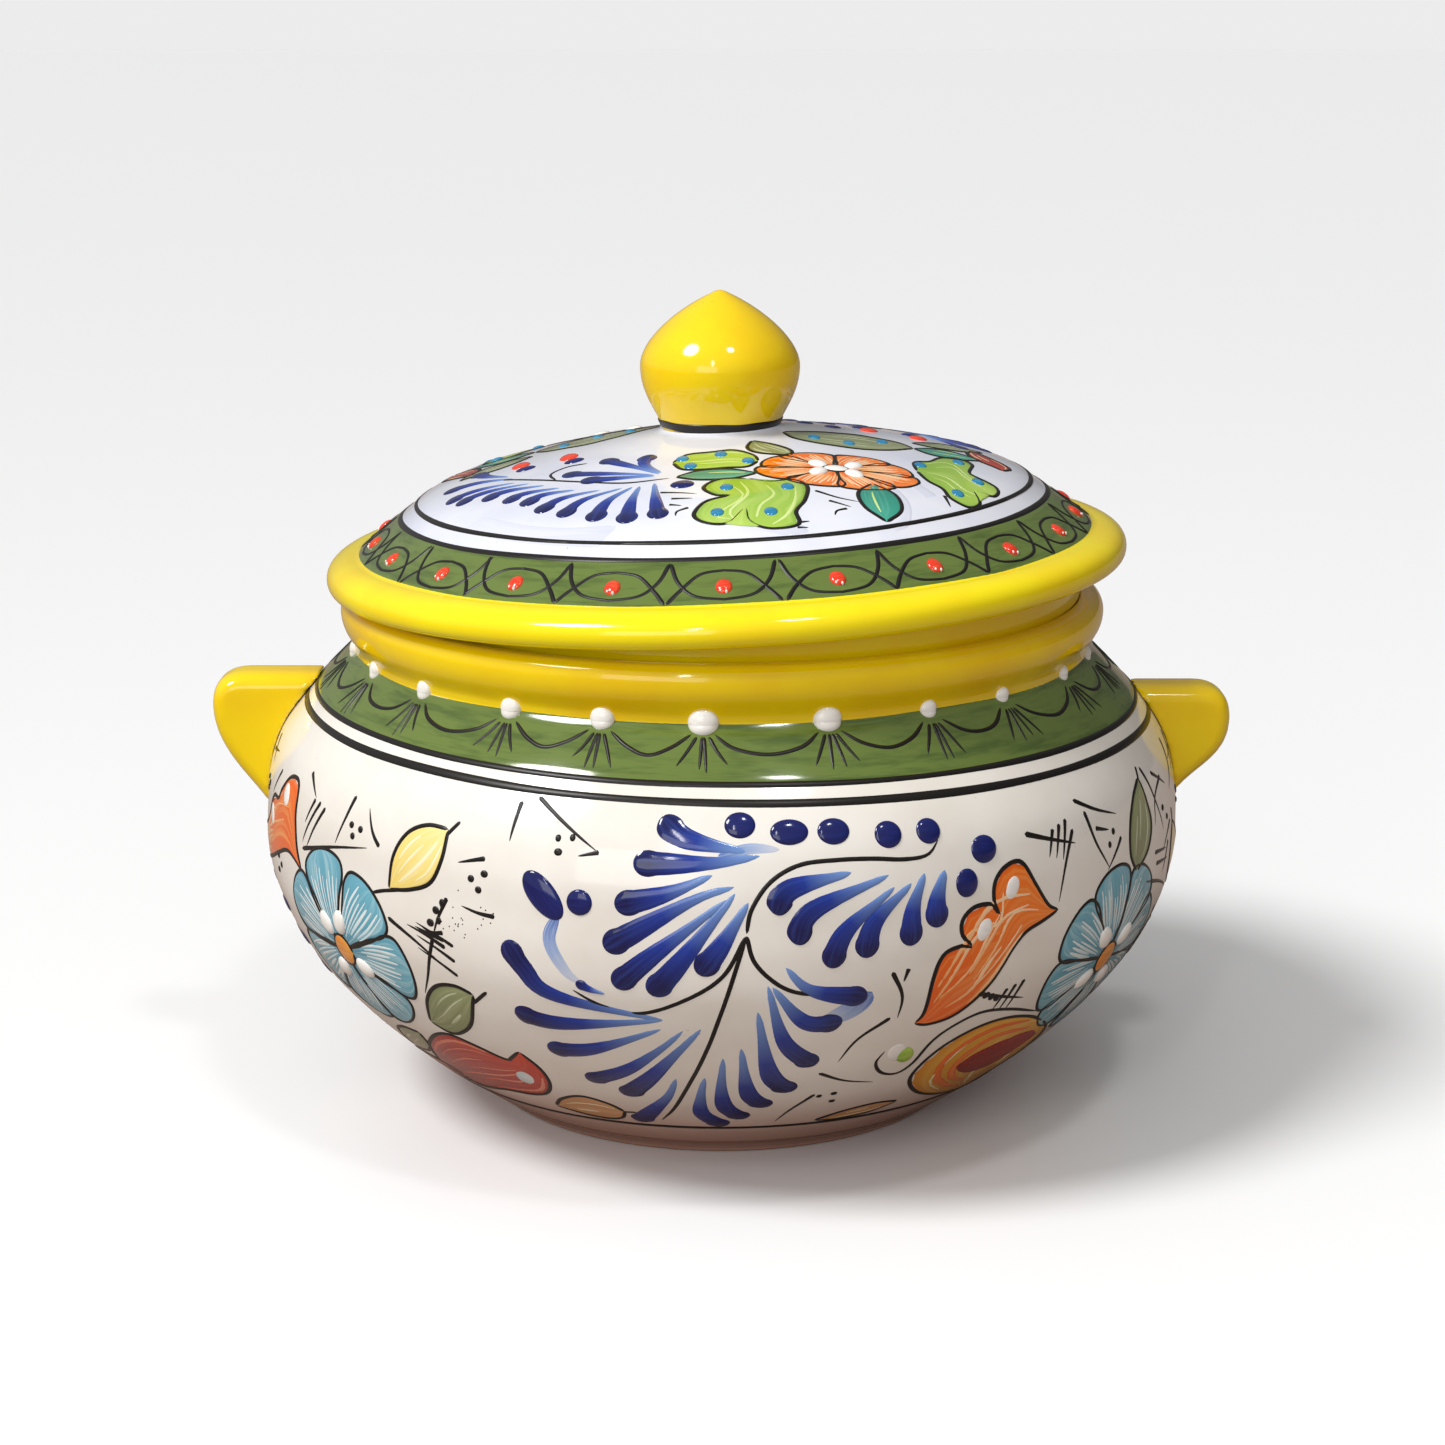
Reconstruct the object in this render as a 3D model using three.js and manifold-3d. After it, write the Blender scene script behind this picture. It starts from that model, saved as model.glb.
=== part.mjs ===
// Lidded earthenware tureen with two ear lugs and a knobbed lid, as separate pieces.
// Millimetres, +Z up. The origin is on the table, under the centre of the bowl.
// The lid sits slightly cocked: its underside rests on the rim at -X, and its locating
// ring rides on the edge of the mouth at +X.

import * as THREE from 'three';
import { mergeVertices } from 'three/addons/utils/BufferGeometryUtils.js';
import Module from 'manifold-3d';

const wasm = await Module();
wasm.setup();

// ---- driving dimensions ----
const gap = 0.3;                 // clearance kept between neighbouring pieces
const roundSteps = 60;           // facets around the bowl and the lid
const knobSteps = 36;            // facets around the knob

const foot = { outer: 79.5, inner: 68, flare: 87.3, height: 6, edge: 1.2 };
const bowl = {
  belly: 151.4,                  // largest radius
  bellyHeight: 91,
  wall: 7,
  floor: 8,                      // thickness of the floor
  floorRadius: 70,
  shoulder: 122.6,               // where the belly meets the neck
  shoulderHeight: 149,
  neck: 121.3,
  neckHeight: 151.5,
  collar: 125.4,                 // bulging collar below the rim
  collarHeight: 163,
  mouth: 117.3,                  // inner radius of the mouth
  rimOuter: 121,
  rimHeight: 168.5,
  lip: 2,                        // rounding of the mouth's edge
};
const lid = {
  tilt: THREE.MathUtils.degToRad(2.5),
  shift: 1.8,                    // how far it has slid towards +X
  height: 171,                   // height of the lid's own zero above the table
  seat: 3.2,                     // its flat underside, above its own zero
  seatOuter: 124,
  rim: 131,                      // largest radius, on the rolled rim
  rimHeight: 8,
  bandOuter: 120.5,              // foot of the sloping band
  bandOuterHeight: 14.7,
  bandInner: 100,                // crest of the band, where the dome starts
  bandInnerHeight: 30.2,
  bossRadius: 19.5,              // raised boss under the knob
  bossHeight: 50.3,
  domeFoot: 24,
  domeTop: 48.7,
  hollow: 109,                   // inner radius of the hollow underside
  wall: 7,
};
const ring = { outer: 115.8, inner: 109.5, bottom: -8.5, edge: 1.5 };
const knob = {
  offset: -0.5,                  // it stands upright over the tilted boss
  base: 218.8,
  waist: 18.2,
  belly: 26,
  bellyHeight: 22,
  tipHeight: 46.2,
  root: 4,                       // extra length cut away by the boss
};
const handle = {
  reach: 169.5,                  // furthest point from the axis
  corner: 11.5,                  // radius of the outer corner
  root: 112,                     // hidden end, cut away by the bowl
  heel: 6,                       // how far it runs on into the wall below the toe
  thickness: 21,
  face: 7,                       // rounding of its edge, measured through the thickness
  edge: 4.5,                     // the same rounding, measured along the face
};
const handleSides = [
  { name: 'handle_left', side: -1, top: 139.7, toe: 98, toeReach: 154 },
  { name: 'handle_right', side: 1, top: 135.2, toe: 99.5, toeReach: 152.5 },
];

const yellowGlaze = { color: 0xeec20a, roughness: 0.12, metalness: 0 };
const whiteGlaze = { color: 0xf1eade, roughness: 0.1, metalness: 0 };
const coolWhiteGlaze = { color: 0xe4e3ee, roughness: 0.1, metalness: 0 };
const bareClay = { color: 0xb9704a, roughness: 0.85, metalness: 0 };

// ---- helpers ----

// Merges a geometry's vertices and drops the triangles that have no area.
function closeUp(geometry) {
  const plain = geometry.clone();
  plain.deleteAttribute('normal');
  plain.deleteAttribute('uv');
  const merged = mergeVertices(plain, 1e-4);
  const corners = Array.from(merged.index.array);
  const kept = [];
  for (let i = 0; i < corners.length; i += 3) {
    const [a, b, c] = corners.slice(i, i + 3);
    if (a !== b && b !== c && c !== a) kept.push(a, b, c);
  }
  merged.setIndex(kept);
  return merged;
}

// Signed volume: positive when the faces point outwards.
function signedVolume(geometry) {
  const position = geometry.getAttribute('position');
  const corners = geometry.index.array;
  const [a, b, c] = [new THREE.Vector3(), new THREE.Vector3(), new THREE.Vector3()];
  let volume = 0;
  for (let i = 0; i < corners.length; i += 3) {
    a.fromBufferAttribute(position, corners[i]);
    b.fromBufferAttribute(position, corners[i + 1]);
    c.fromBufferAttribute(position, corners[i + 2]);
    volume += a.dot(b.cross(c)) / 6;
  }
  return volume;
}

// Turns a half profile (x is the radius, y the height) round the Z axis.
function turned(profile, steps) {
  const lathe = new THREE.LatheGeometry(profile, steps);
  lathe.rotateX(Math.PI / 2);
  const solid = closeUp(lathe);
  if (signedVolume(solid) < 0) {
    const flipped = Array.from(solid.index.array).reverse();
    solid.setIndex(flipped);
  }
  return solid;
}

function toSolid(geometry) {
  const closed = closeUp(geometry);
  return new wasm.Manifold(new wasm.Mesh({
    numProp: 3,
    vertProperties: new Float32Array(closed.getAttribute('position').array),
    triVerts: new Uint32Array(closed.index.array),
  }));
}

function fromSolid(solid) {
  const mesh = solid.getMesh();
  const geometry = new THREE.BufferGeometry();
  const positions = new THREE.BufferAttribute(new Float32Array(mesh.vertProperties), 3);
  geometry.setAttribute('position', positions);
  geometry.setIndex(new THREE.BufferAttribute(new Uint32Array(mesh.triVerts), 1));
  return geometry;
}

function cutAway(geometry, cutter) {
  return fromSolid(toSolid(geometry).subtract(toSolid(cutter)));
}

// The points of a run of curves, without the doubles where one curve meets the next.
function pointsOf(curves) {
  const points = [];
  for (const { curve, steps } of curves) {
    for (const point of curve.getPoints(steps)) {
      const last = points[points.length - 1];
      if (!last || last.distanceTo(point) > 1e-3) points.push(point);
    }
  }
  return points;
}

const at = (radius, height) => new THREE.Vector2(radius, height);
const straight = (from, to) => ({ curve: new THREE.LineCurve(from, to), steps: 1 });
const bend = (from, pull, to, steps) => ({
  curve: new THREE.QuadraticBezierCurve(from, pull, to), steps,
});
const sweep = (from, pullA, pullB, to, steps) => ({
  curve: new THREE.CubicBezierCurve(from, pullA, pullB, to), steps,
});

function piece(name, geometry, finish) {
  const mesh = new THREE.Mesh(geometry, new THREE.MeshStandardMaterial(finish));
  mesh.name = name;
  return mesh;
}

// ---- bowl ----

// Outer wall from the foot to the top of the rim, grown outwards by `grow`.
function outerWall(grow = 0) {
  const start = at(foot.flare + grow, foot.height + gap);
  const belly = at(bowl.belly + grow, bowl.bellyHeight);
  const shoulder = at(bowl.shoulder + grow, bowl.shoulderHeight + grow);
  const neck = at(bowl.neck + grow, bowl.neckHeight + grow);
  const collar = at(bowl.collar + grow, bowl.collarHeight);
  const rim = at(bowl.rimOuter, bowl.rimHeight + grow);
  return [
    sweep(start, at(126 + grow, 33.4), at(belly.x, 61.3), belly, 9),
    sweep(belly, at(belly.x, 119.7), at(146.1 + grow, 126.7 + grow), shoulder, 9),
    straight(shoulder, neck),
    sweep(neck, at(neck.x, 155), at(collar.x, 157), collar, 4),
    bend(collar, at(collar.x, rim.y - 0.6), rim, 4),
  ];
}

// Inner wall from the mouth down to the middle of the floor.
function innerWall() {
  const edge = at(bowl.mouth + bowl.lip, bowl.rimHeight);
  const throat = at(bowl.mouth, bowl.rimHeight - bowl.lip);
  const neck = at(bowl.neck - bowl.wall, bowl.neckHeight - 2);
  const belly = at(bowl.belly - bowl.wall, bowl.bellyHeight);
  const floorHeight = foot.height + gap + bowl.floor;
  const floorEdge = at(bowl.floorRadius, floorHeight);
  return [
    bend(edge, at(bowl.mouth, bowl.rimHeight), throat, 3),
    sweep(throat, at(bowl.mouth, 160), at(neck.x, 156), neck, 4),
    sweep(neck, at(138, 124), at(belly.x, 115), belly, 8),
    sweep(belly, at(belly.x, 62), at(116, floorHeight + 12), floorEdge, 8),
    straight(floorEdge, at(0, floorHeight)),
  ];
}

function makeBowl() {
  const profile = pointsOf([
    straight(at(0, foot.height + gap), at(foot.flare, foot.height + gap)),
    ...outerWall(),
    straight(at(bowl.rimOuter, bowl.rimHeight), at(bowl.mouth + bowl.lip, bowl.rimHeight)),
    ...innerWall(),
  ]);
  return turned(profile, roundSteps);
}

// The bowl's outside as one full solid, a gap larger, for cutting what is luted on to it.
function bowlEnvelope() {
  const profile = pointsOf([
    straight(at(0, foot.height), at(foot.flare + gap, foot.height)),
    ...outerWall(gap),
    straight(at(bowl.rimOuter, bowl.rimHeight + gap), at(0, bowl.rimHeight + gap)),
  ]);
  return turned(profile, roundSteps);
}

function makeFootRing() {
  const bottom = at(foot.outer - foot.edge, 0);
  const side = at(foot.outer + foot.edge / 2, foot.edge);
  const profile = pointsOf([
    straight(at(foot.inner, 0), bottom),
    bend(bottom, at(foot.outer, 0), side, 2),
    bend(side, at(foot.outer + 3, 3.4), at(foot.flare - 0.4, foot.height), 3),
    straight(at(foot.flare - 0.4, foot.height), at(foot.inner - 2, foot.height)),
    straight(at(foot.inner - 2, foot.height), at(foot.inner, 0)),
  ]);
  return turned(profile, roundSteps);
}

// ---- ear lugs ----

// A thick ear: flat on top, round at the corner, and slanting in to the belly below.
function makeHandle({ side, top, toe, toeReach }) {
  const { reach, corner, root, heel, thickness, face, edge } = handle;
  const shoulder = top - corner;
  const outline = new THREE.Shape();
  outline.moveTo(root, toe - heel);
  outline.lineTo(toeReach - 0.7 * heel, toe - heel);
  outline.lineTo(toeReach, toe);
  outline.bezierCurveTo(toeReach + 6, toe + 8, reach, shoulder - 13, reach, shoulder);
  outline.quadraticCurveTo(reach, top, reach - corner, top);
  outline.lineTo(root, top);
  outline.closePath();
  const lug = new THREE.ExtrudeGeometry(outline, {
    depth: thickness - 2 * face,
    bevelThickness: face,
    bevelSize: edge,
    bevelOffset: -edge,
    bevelSegments: 4,
    curveSegments: 8,
  });
  lug.translate(0, 0, face - thickness / 2);
  lug.rotateX(Math.PI / 2);
  if (side < 0) lug.rotateZ(Math.PI);
  return cutAway(lug, bowlEnvelope());
}

// ---- lid ----

// Outside of the lid from the edge of its seat up to the middle of the boss.
function lidOutside() {
  const seat = at(lid.seatOuter, lid.seat);
  const roll = at(lid.rim, lid.rimHeight);
  const bandFoot = at(lid.bandOuter, lid.bandOuterHeight);
  const bandCrest = at(lid.bandInner, lid.bandInnerHeight);
  const domeFoot = at(lid.domeFoot, lid.domeTop);
  const boss = at(lid.bossRadius, lid.bossHeight);
  return [
    bend(seat, at(lid.rim - 0.4, lid.seat + 0.3), roll, 4),
    bend(roll, at(lid.rim, lid.rimHeight + 6), bandFoot, 4),
    straight(bandFoot, bandCrest),
    sweep(bandCrest, at(89, 37), at(66.7, 41.9), domeFoot, 8),
    straight(domeFoot, boss),
    straight(boss, at(0, lid.bossHeight)),
  ];
}

function makeLidShell() {
  const apex = at(0, lid.domeTop - lid.wall);
  const crown = at(38, lid.domeTop - lid.wall - 2.8);
  const crest = at(95.5, 24.6);
  const cheek = at(lid.hollow, 14.2);
  const profile = pointsOf([
    straight(at(lid.hollow, lid.seat), at(lid.seatOuter, lid.seat)),
    ...lidOutside(),
    straight(at(0, lid.bossHeight), apex),
    straight(apex, crown),
    sweep(crown, at(62, 35), at(82, 30), crest, 6),
    straight(crest, cheek),
    straight(cheek, at(lid.hollow, lid.seat)),
  ]);
  return turned(profile, roundSteps);
}

function makeLocatingRing() {
  const top = lid.seat - gap;
  const heel = at(ring.outer, ring.bottom + ring.edge);
  const toe = at(ring.outer - ring.edge, ring.bottom);
  const profile = pointsOf([
    straight(at(ring.inner, top), at(ring.inner, ring.bottom)),
    straight(at(ring.inner, ring.bottom), toe),
    bend(toe, at(ring.outer, ring.bottom), heel, 3),
    straight(heel, at(ring.outer, top)),
    straight(at(ring.outer, top), at(ring.inner, top)),
  ]);
  return turned(profile, roundSteps);
}

// The lid's outside as one full solid, a gap larger, in the lid's place on the bowl.
function lidEnvelope() {
  const profile = pointsOf([
    straight(at(0, lid.seat), at(lid.seatOuter, lid.seat)),
    ...lidOutside(),
  ]);
  const solid = turned(profile, roundSteps);
  solid.translate(0, 0, gap);
  solid.rotateY(-lid.tilt);
  solid.translate(lid.shift, 0, lid.height);
  return solid;
}

// Onion-shaped knob: a narrow waist, a full belly and a pointed dome.
function makeKnob() {
  const waist = at(knob.waist, knob.base);
  const belly = at(knob.belly, knob.base + knob.bellyHeight);
  const tip = at(0, knob.base + knob.tipHeight);
  const profile = pointsOf([
    straight(at(0, knob.base - knob.root), at(knob.waist, knob.base - knob.root)),
    straight(at(knob.waist, knob.base - knob.root), waist),
    sweep(waist, at(20, waist.y + 7), at(belly.x, belly.y - 10), belly, 7),
    sweep(belly, at(belly.x, belly.y + 8), at(14, tip.y - 6), at(3, tip.y - 1), 7),
    bend(at(3, tip.y - 1), at(1.5, tip.y), tip, 2),
  ]);
  const body = turned(profile, knobSteps);
  body.translate(knob.offset, 0, 0);
  return cutAway(body, lidEnvelope());
}

// ---- assembly ----
const tureen = new THREE.Group();

tureen.add(piece('bowl', makeBowl(), whiteGlaze));
tureen.add(piece('foot_ring', makeFootRing(), bareClay));
for (const shape of handleSides) {
  tureen.add(piece(shape.name, makeHandle(shape), yellowGlaze));
}

const tiltedLid = new THREE.Group();
tiltedLid.position.set(lid.shift, 0, lid.height);
tiltedLid.rotation.y = -lid.tilt;
tiltedLid.add(piece('lid_shell', makeLidShell(), coolWhiteGlaze));
tiltedLid.add(piece('lid_locating_ring', makeLocatingRing(), yellowGlaze));
tureen.add(tiltedLid);
tureen.add(piece('knob', makeKnob(), yellowGlaze));

export default tureen;
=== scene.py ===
# Lidded talavera tureen: turned walls, luted ears and raised enamel painting, in metres.
import math
import random

import bpy
import numpy as np
from mathutils import Matrix, Vector


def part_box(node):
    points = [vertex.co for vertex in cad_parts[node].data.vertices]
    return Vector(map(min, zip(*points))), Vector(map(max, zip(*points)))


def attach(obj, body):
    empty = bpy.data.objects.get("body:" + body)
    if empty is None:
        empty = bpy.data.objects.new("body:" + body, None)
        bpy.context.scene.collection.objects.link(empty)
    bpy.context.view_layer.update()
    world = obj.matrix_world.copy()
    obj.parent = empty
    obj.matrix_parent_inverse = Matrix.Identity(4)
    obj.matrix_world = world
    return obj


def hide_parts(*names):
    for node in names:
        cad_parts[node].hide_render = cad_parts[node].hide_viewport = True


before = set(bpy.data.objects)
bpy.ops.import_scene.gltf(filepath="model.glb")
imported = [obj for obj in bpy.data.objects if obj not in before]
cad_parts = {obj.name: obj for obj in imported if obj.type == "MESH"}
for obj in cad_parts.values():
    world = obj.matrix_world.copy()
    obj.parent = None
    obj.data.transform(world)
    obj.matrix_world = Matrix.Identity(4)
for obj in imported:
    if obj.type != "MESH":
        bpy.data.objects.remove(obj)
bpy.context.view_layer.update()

mm = 0.001
handChance = random.Random(7)                      # the only source of chance, always seeded
print("frame loaded:", sorted(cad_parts))


def bezier(start, pullA, pullB, end, steps):
    t = np.linspace(0, 1, steps + 1)[:, None]
    start, pullA, pullB, end = (np.array(p, float) for p in (start, pullA, pullB, end))
    return (1 - t) ** 3 * start + 3 * (1 - t) ** 2 * t * pullA + 3 * (1 - t) * t * t * pullB + t ** 3 * end


def straight(start, end, steps):
    return np.linspace(np.array(start, float), np.array(end, float), steps + 1)


def joinRuns(*runs):                               # one outline from several, without doubled points
    points = []
    for run in runs:
        for p in run:
            if not points or math.dist(points[-1], p) > 1e-3:
                points.append((float(p[0]), float(p[1])))
    return np.array(points)


def softPath(points, t, grain):                    # a soft curve through a few points, t its share of length
    points = np.array(points, float)
    if len(points) > 2:
        padded = np.vstack([2 * points[0] - points[1], points, 2 * points[-1] - points[-2]])
        f = np.linspace(0, 1, 10, endpoint=False)[:, None]
        spans = []
        for a, b, c, d in zip(padded, padded[1:], padded[2:], padded[3:]):
            spans.append(0.5 * (2 * b + (c - a) * f + (2 * a - 5 * b + 4 * c - d) * f ** 2
                                + (3 * b - a - 3 * c + d) * f ** 3))
        points = np.vstack(spans + [points[-1:]])
    step = np.diff(points, axis=0) * (grain, 1)
    length = np.concatenate([[0], np.cumsum(np.hypot(step[:, 0], step[:, 1]))])
    along = np.clip(t, 0, 1) * length[-1]
    return np.stack([np.interp(along, length, points[:, 0]), np.interp(along, length, points[:, 1])], -1)


bowlLow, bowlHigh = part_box("bowl")
bowlShape = {
    "footR": 87.3, "footZ": bowlLow.z / mm,
    "bellyR": bowlHigh.x / mm, "bellyZ": 91.0,
    "shoulder": (122.6, 149.0), "neck": (121.3, 151.5), "collar": (125.4, 163.0),
    "rimR": 121.0, "rimZ": bowlHigh.z / mm, "mouthR": 117.3, "lip": 2.0,
    "wall": 7.0, "floorR": 70.0, "floor": 8.0,
    "steps": 216,                                  # faces round the wheel
    "ripple": 0.16,                                # height of the throwing rings
    "rippleFrom": 72.0, "rippleFade": 10.0,
    "bareBelow": 7.5, "mouthInside": 119, "rimFrom": 161,          # where the colours of the glaze change
}
lidShape = {
    "tilt": math.radians(2.5), "shift": 1.8, "height": 171.0,
    "seat": 3.2, "seatR": 124.0, "rim": (131.0, 8.0),
    "bandFoot": (120.5, 14.7), "bandCrest": (101.6, 29.0), "shoulder": (98.2, 31.4),
    "domeFoot": (24.0, 48.7), "boss": (19.5, 50.3), "hollowR": 109.0, "hollowTop": 41.7,
    "steps": 192, "ripple": 0.8, "rippleFrom": 22.0, "rippleFade": 15.0,
}


def bowlRun(s):                                    # outside from the foot up, over the lip and down inside
    foot, belly = (s["footR"], s["footZ"]), (s["bellyR"], s["bellyZ"])
    low = bezier(foot, (126, 33.4), (s["bellyR"], 61.3), belly, 44)
    high = bezier(belly, (s["bellyR"], 119.7), (146.1, 126.7), s["shoulder"], 40)
    neck = bezier(s["shoulder"], (121.4, 150.1), (121.0, 150.6), s["neck"], 5)
    collar = bezier(s["neck"], (s["neck"][0], 155), (s["collar"][0], 157), s["collar"], 16)
    edge, throat = (s["mouthR"] + s["lip"], s["rimZ"]), (s["mouthR"], s["rimZ"] - s["lip"])
    rim = bezier(s["collar"], (s["collar"][0], 166.2), (123.4, s["rimZ"]), (s["rimR"], s["rimZ"]), 14)
    lip = bezier(edge, (s["mouthR"] + 0.6, s["rimZ"]), (s["mouthR"], s["rimZ"] - 0.6), throat, 6)
    innerNeck = (s["neck"][0] - s["wall"], s["neck"][1] - 2)
    innerBelly = (s["bellyR"] - s["wall"], s["bellyZ"])
    floor = (s["floorR"], s["footZ"] + s["floor"])
    mouth = bezier(throat, (s["mouthR"], 160), (innerNeck[0], 156), innerNeck, 10)
    inside = bezier(innerNeck, (138, 124), (innerBelly[0], 115), innerBelly, 24)
    bottom = bezier(innerBelly, (innerBelly[0], 62), (116, floor[1] + 12), floor, 26)
    return joinRuns(low, high, neck, collar, rim, lip, mouth, inside, bottom)


def lidRun(s):                                     # outside of the lid, from under the rim to the boss
    under = bezier((s["seatR"], s["seat"]), (128.6, 3.2), (131, 4.6), s["rim"], 10)
    roll = bezier(s["rim"], (131, 12), (127, 14.6), s["bandFoot"], 12)
    slope = straight(s["bandFoot"], s["bandCrest"], 10)
    crest = bezier(s["bandCrest"], (100.6, 29.8), (99.6, 30.6), s["shoulder"], 6)
    dome = bezier(s["shoulder"], (88, 37.2), (66.7, 41.9), s["domeFoot"], 40)
    boss = bezier(s["domeFoot"], (21.4, 49.1), (19.9, 49.6), s["boss"], 6)
    return joinRuns(under, roll, slope, crest, dome, boss)


def measured(run, zeroAt):                         # distance along a run, counted from one of its points
    length = np.concatenate([[0], np.cumsum(np.hypot(*np.diff(run, axis=0).T))])
    nearest = np.argmin(np.hypot(run[:, 0] - zeroAt[0], run[:, 1] - zeroAt[1]))
    return length - length[nearest], run[:, 0], run[:, 1]


potLength, potR, potZ = measured(bowlRun(bowlShape), (bowlShape["bellyR"], bowlShape["bellyZ"]))
lidLength, lidR, lidZ = measured(lidRun(lidShape), lidShape["bandFoot"])
lidTopFrom = int(np.argmin(abs(lidLength)))
lidPlace = (Matrix.Translation((lidShape["shift"] * mm, 0, lidShape["height"] * mm))
            @ Matrix.Rotation(-lidShape["tilt"], 4, "Y"))
lidTurn = np.array(lidPlace)
neckAt = float(potLength[np.argmin(abs(potR - bowlShape["neck"][0]) + abs(potZ - bowlShape["neck"][1]))])


def throwRings(angle, height):                     # the faint unevenness that fingers leave on the wheel
    slow = np.sin(height * 0.19 + 2 * np.sin(angle)) + 0.6 * np.sin(height * 0.43 + angle)
    sway = 0.5 * np.sin(2 * angle + 0.7) + 0.3 * np.sin(3 * angle + height * 0.02)
    return bowlShape["ripple"] * (0.55 * slow + sway)


def lidWaver(x, y):                                # the same unevenness on the lid, gone at the boss
    r = np.hypot(x, y)
    share = np.clip((r - lidShape["rippleFrom"]) / lidShape["rippleFade"], 0, 1)
    return lidShape["ripple"] * throwRings(np.arctan2(x, -y), r) * share


def potWall(a, v):                                 # a: degrees from the front, v: mm above the belly line
    angle = np.radians(a)
    z = np.interp(v, potLength, potZ)
    r = np.interp(v, potLength, potR) + throwRings(angle, z)
    return np.stack([r * np.sin(angle), -r * np.cos(angle), z], -1) * mm


def onLid(x, y, z):
    points = np.stack([x * mm, y * mm, (z + lidWaver(x, y)) * mm, np.ones_like(z)], -1)
    return (points @ lidTurn.T)[..., :3]


def lidBand(a, v):                                 # v: mm up the sloping band from its foot
    angle = np.radians(a)
    r, z = np.interp(v, lidLength, lidR), np.interp(v, lidLength, lidZ)
    return onLid(r * np.sin(angle), -r * np.cos(angle), z)


def lidTop(x, y):                                  # the dome from above, in mm from its middle
    z = np.interp(-np.hypot(x, y), -lidR[lidTopFrom:], lidZ[lidTopFrom:])
    return onLid(x, y, z)


potWall.grain = 2.6                                # millimetres to one step of p
lidBand.grain = 2.0
lidTop.grain = 1.0


def turned(skin, turn):                            # the same wall, with the work carried on further round
    def place(p, q):
        if skin is not lidTop:
            return skin(p + turn, q)
        c, s = math.cos(math.radians(turn)), math.sin(math.radians(turn))
        return skin(p * c - q * s, p * s + q * c)
    place.grain = skin.grain
    return place


def slopes(skin, p, q):
    stepP, stepQ = 0.05, 0.25
    alongP = (skin(p + stepP, q) - skin(p - stepP, q)) / (2 * stepP)
    alongQ = (skin(p, q + stepQ) - skin(p, q - stepQ)) / (2 * stepQ)
    normal = np.cross(alongP, alongQ)
    return alongP, alongQ, normal / np.linalg.norm(normal, axis=-1, keepdims=True)


def raised(skin, at, height):                      # points a little above the wall
    p, q = at[:, 0], at[:, 1]
    return skin(p, q) + slopes(skin, p, q)[2] * (height * mm)[:, None]


def nearby(skin, at, dx, dy):                      # the place that is dx, dy millimetres from another
    alongP, alongQ, _ = slopes(skin, np.array([at[0]], float), np.array([at[1]], float))
    return (at[0] + dx * mm / np.linalg.norm(alongP), at[1] + dy * mm / np.linalg.norm(alongQ))


paintPots = {}                                     # the marks made so far, by colour
stripBlanks = {}
edgeDepth = 0.08                                   # how far the edge of a mark is let into the wall


def stripBlank(rows, cols):                        # one blank for each size of strip, copied for every mark
    if (rows, cols) not in stripBlanks:
        bpy.ops.object.select_all(action="DESELECT")
        bpy.ops.mesh.primitive_grid_add(x_subdivisions=rows, y_subdivisions=cols, size=2)
        blank = bpy.context.object
        corners = np.zeros(len(blank.data.vertices) * 3)
        blank.data.vertices.foreach_get("co", corners)
        corners = corners.reshape(-1, 3)
        stripBlanks[rows, cols] = (blank, (corners[:, 0] + 1) / 2, corners[:, 1])
    return stripBlanks[rows, cols]


def layStrip(colour, points, rows, cols):
    mark = bpy.data.objects.new("mark", stripBlank(rows, cols)[0].data.copy())
    bpy.context.scene.collection.objects.link(mark)
    mark.data.vertices.foreach_set("co", points.ravel())
    shade = mark.data.attributes.new("shade", "FLOAT", "POINT")
    shade.data.foreach_set("value", np.full(len(points), handChance.random(), np.float32))
    paintPots.setdefault(colour, []).append(mark)


def dome(k, power=2.0):                            # 1 in the middle and 0 at the edges
    return np.sqrt(np.clip(1 - np.abs(k) ** power, 0, 1))


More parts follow.
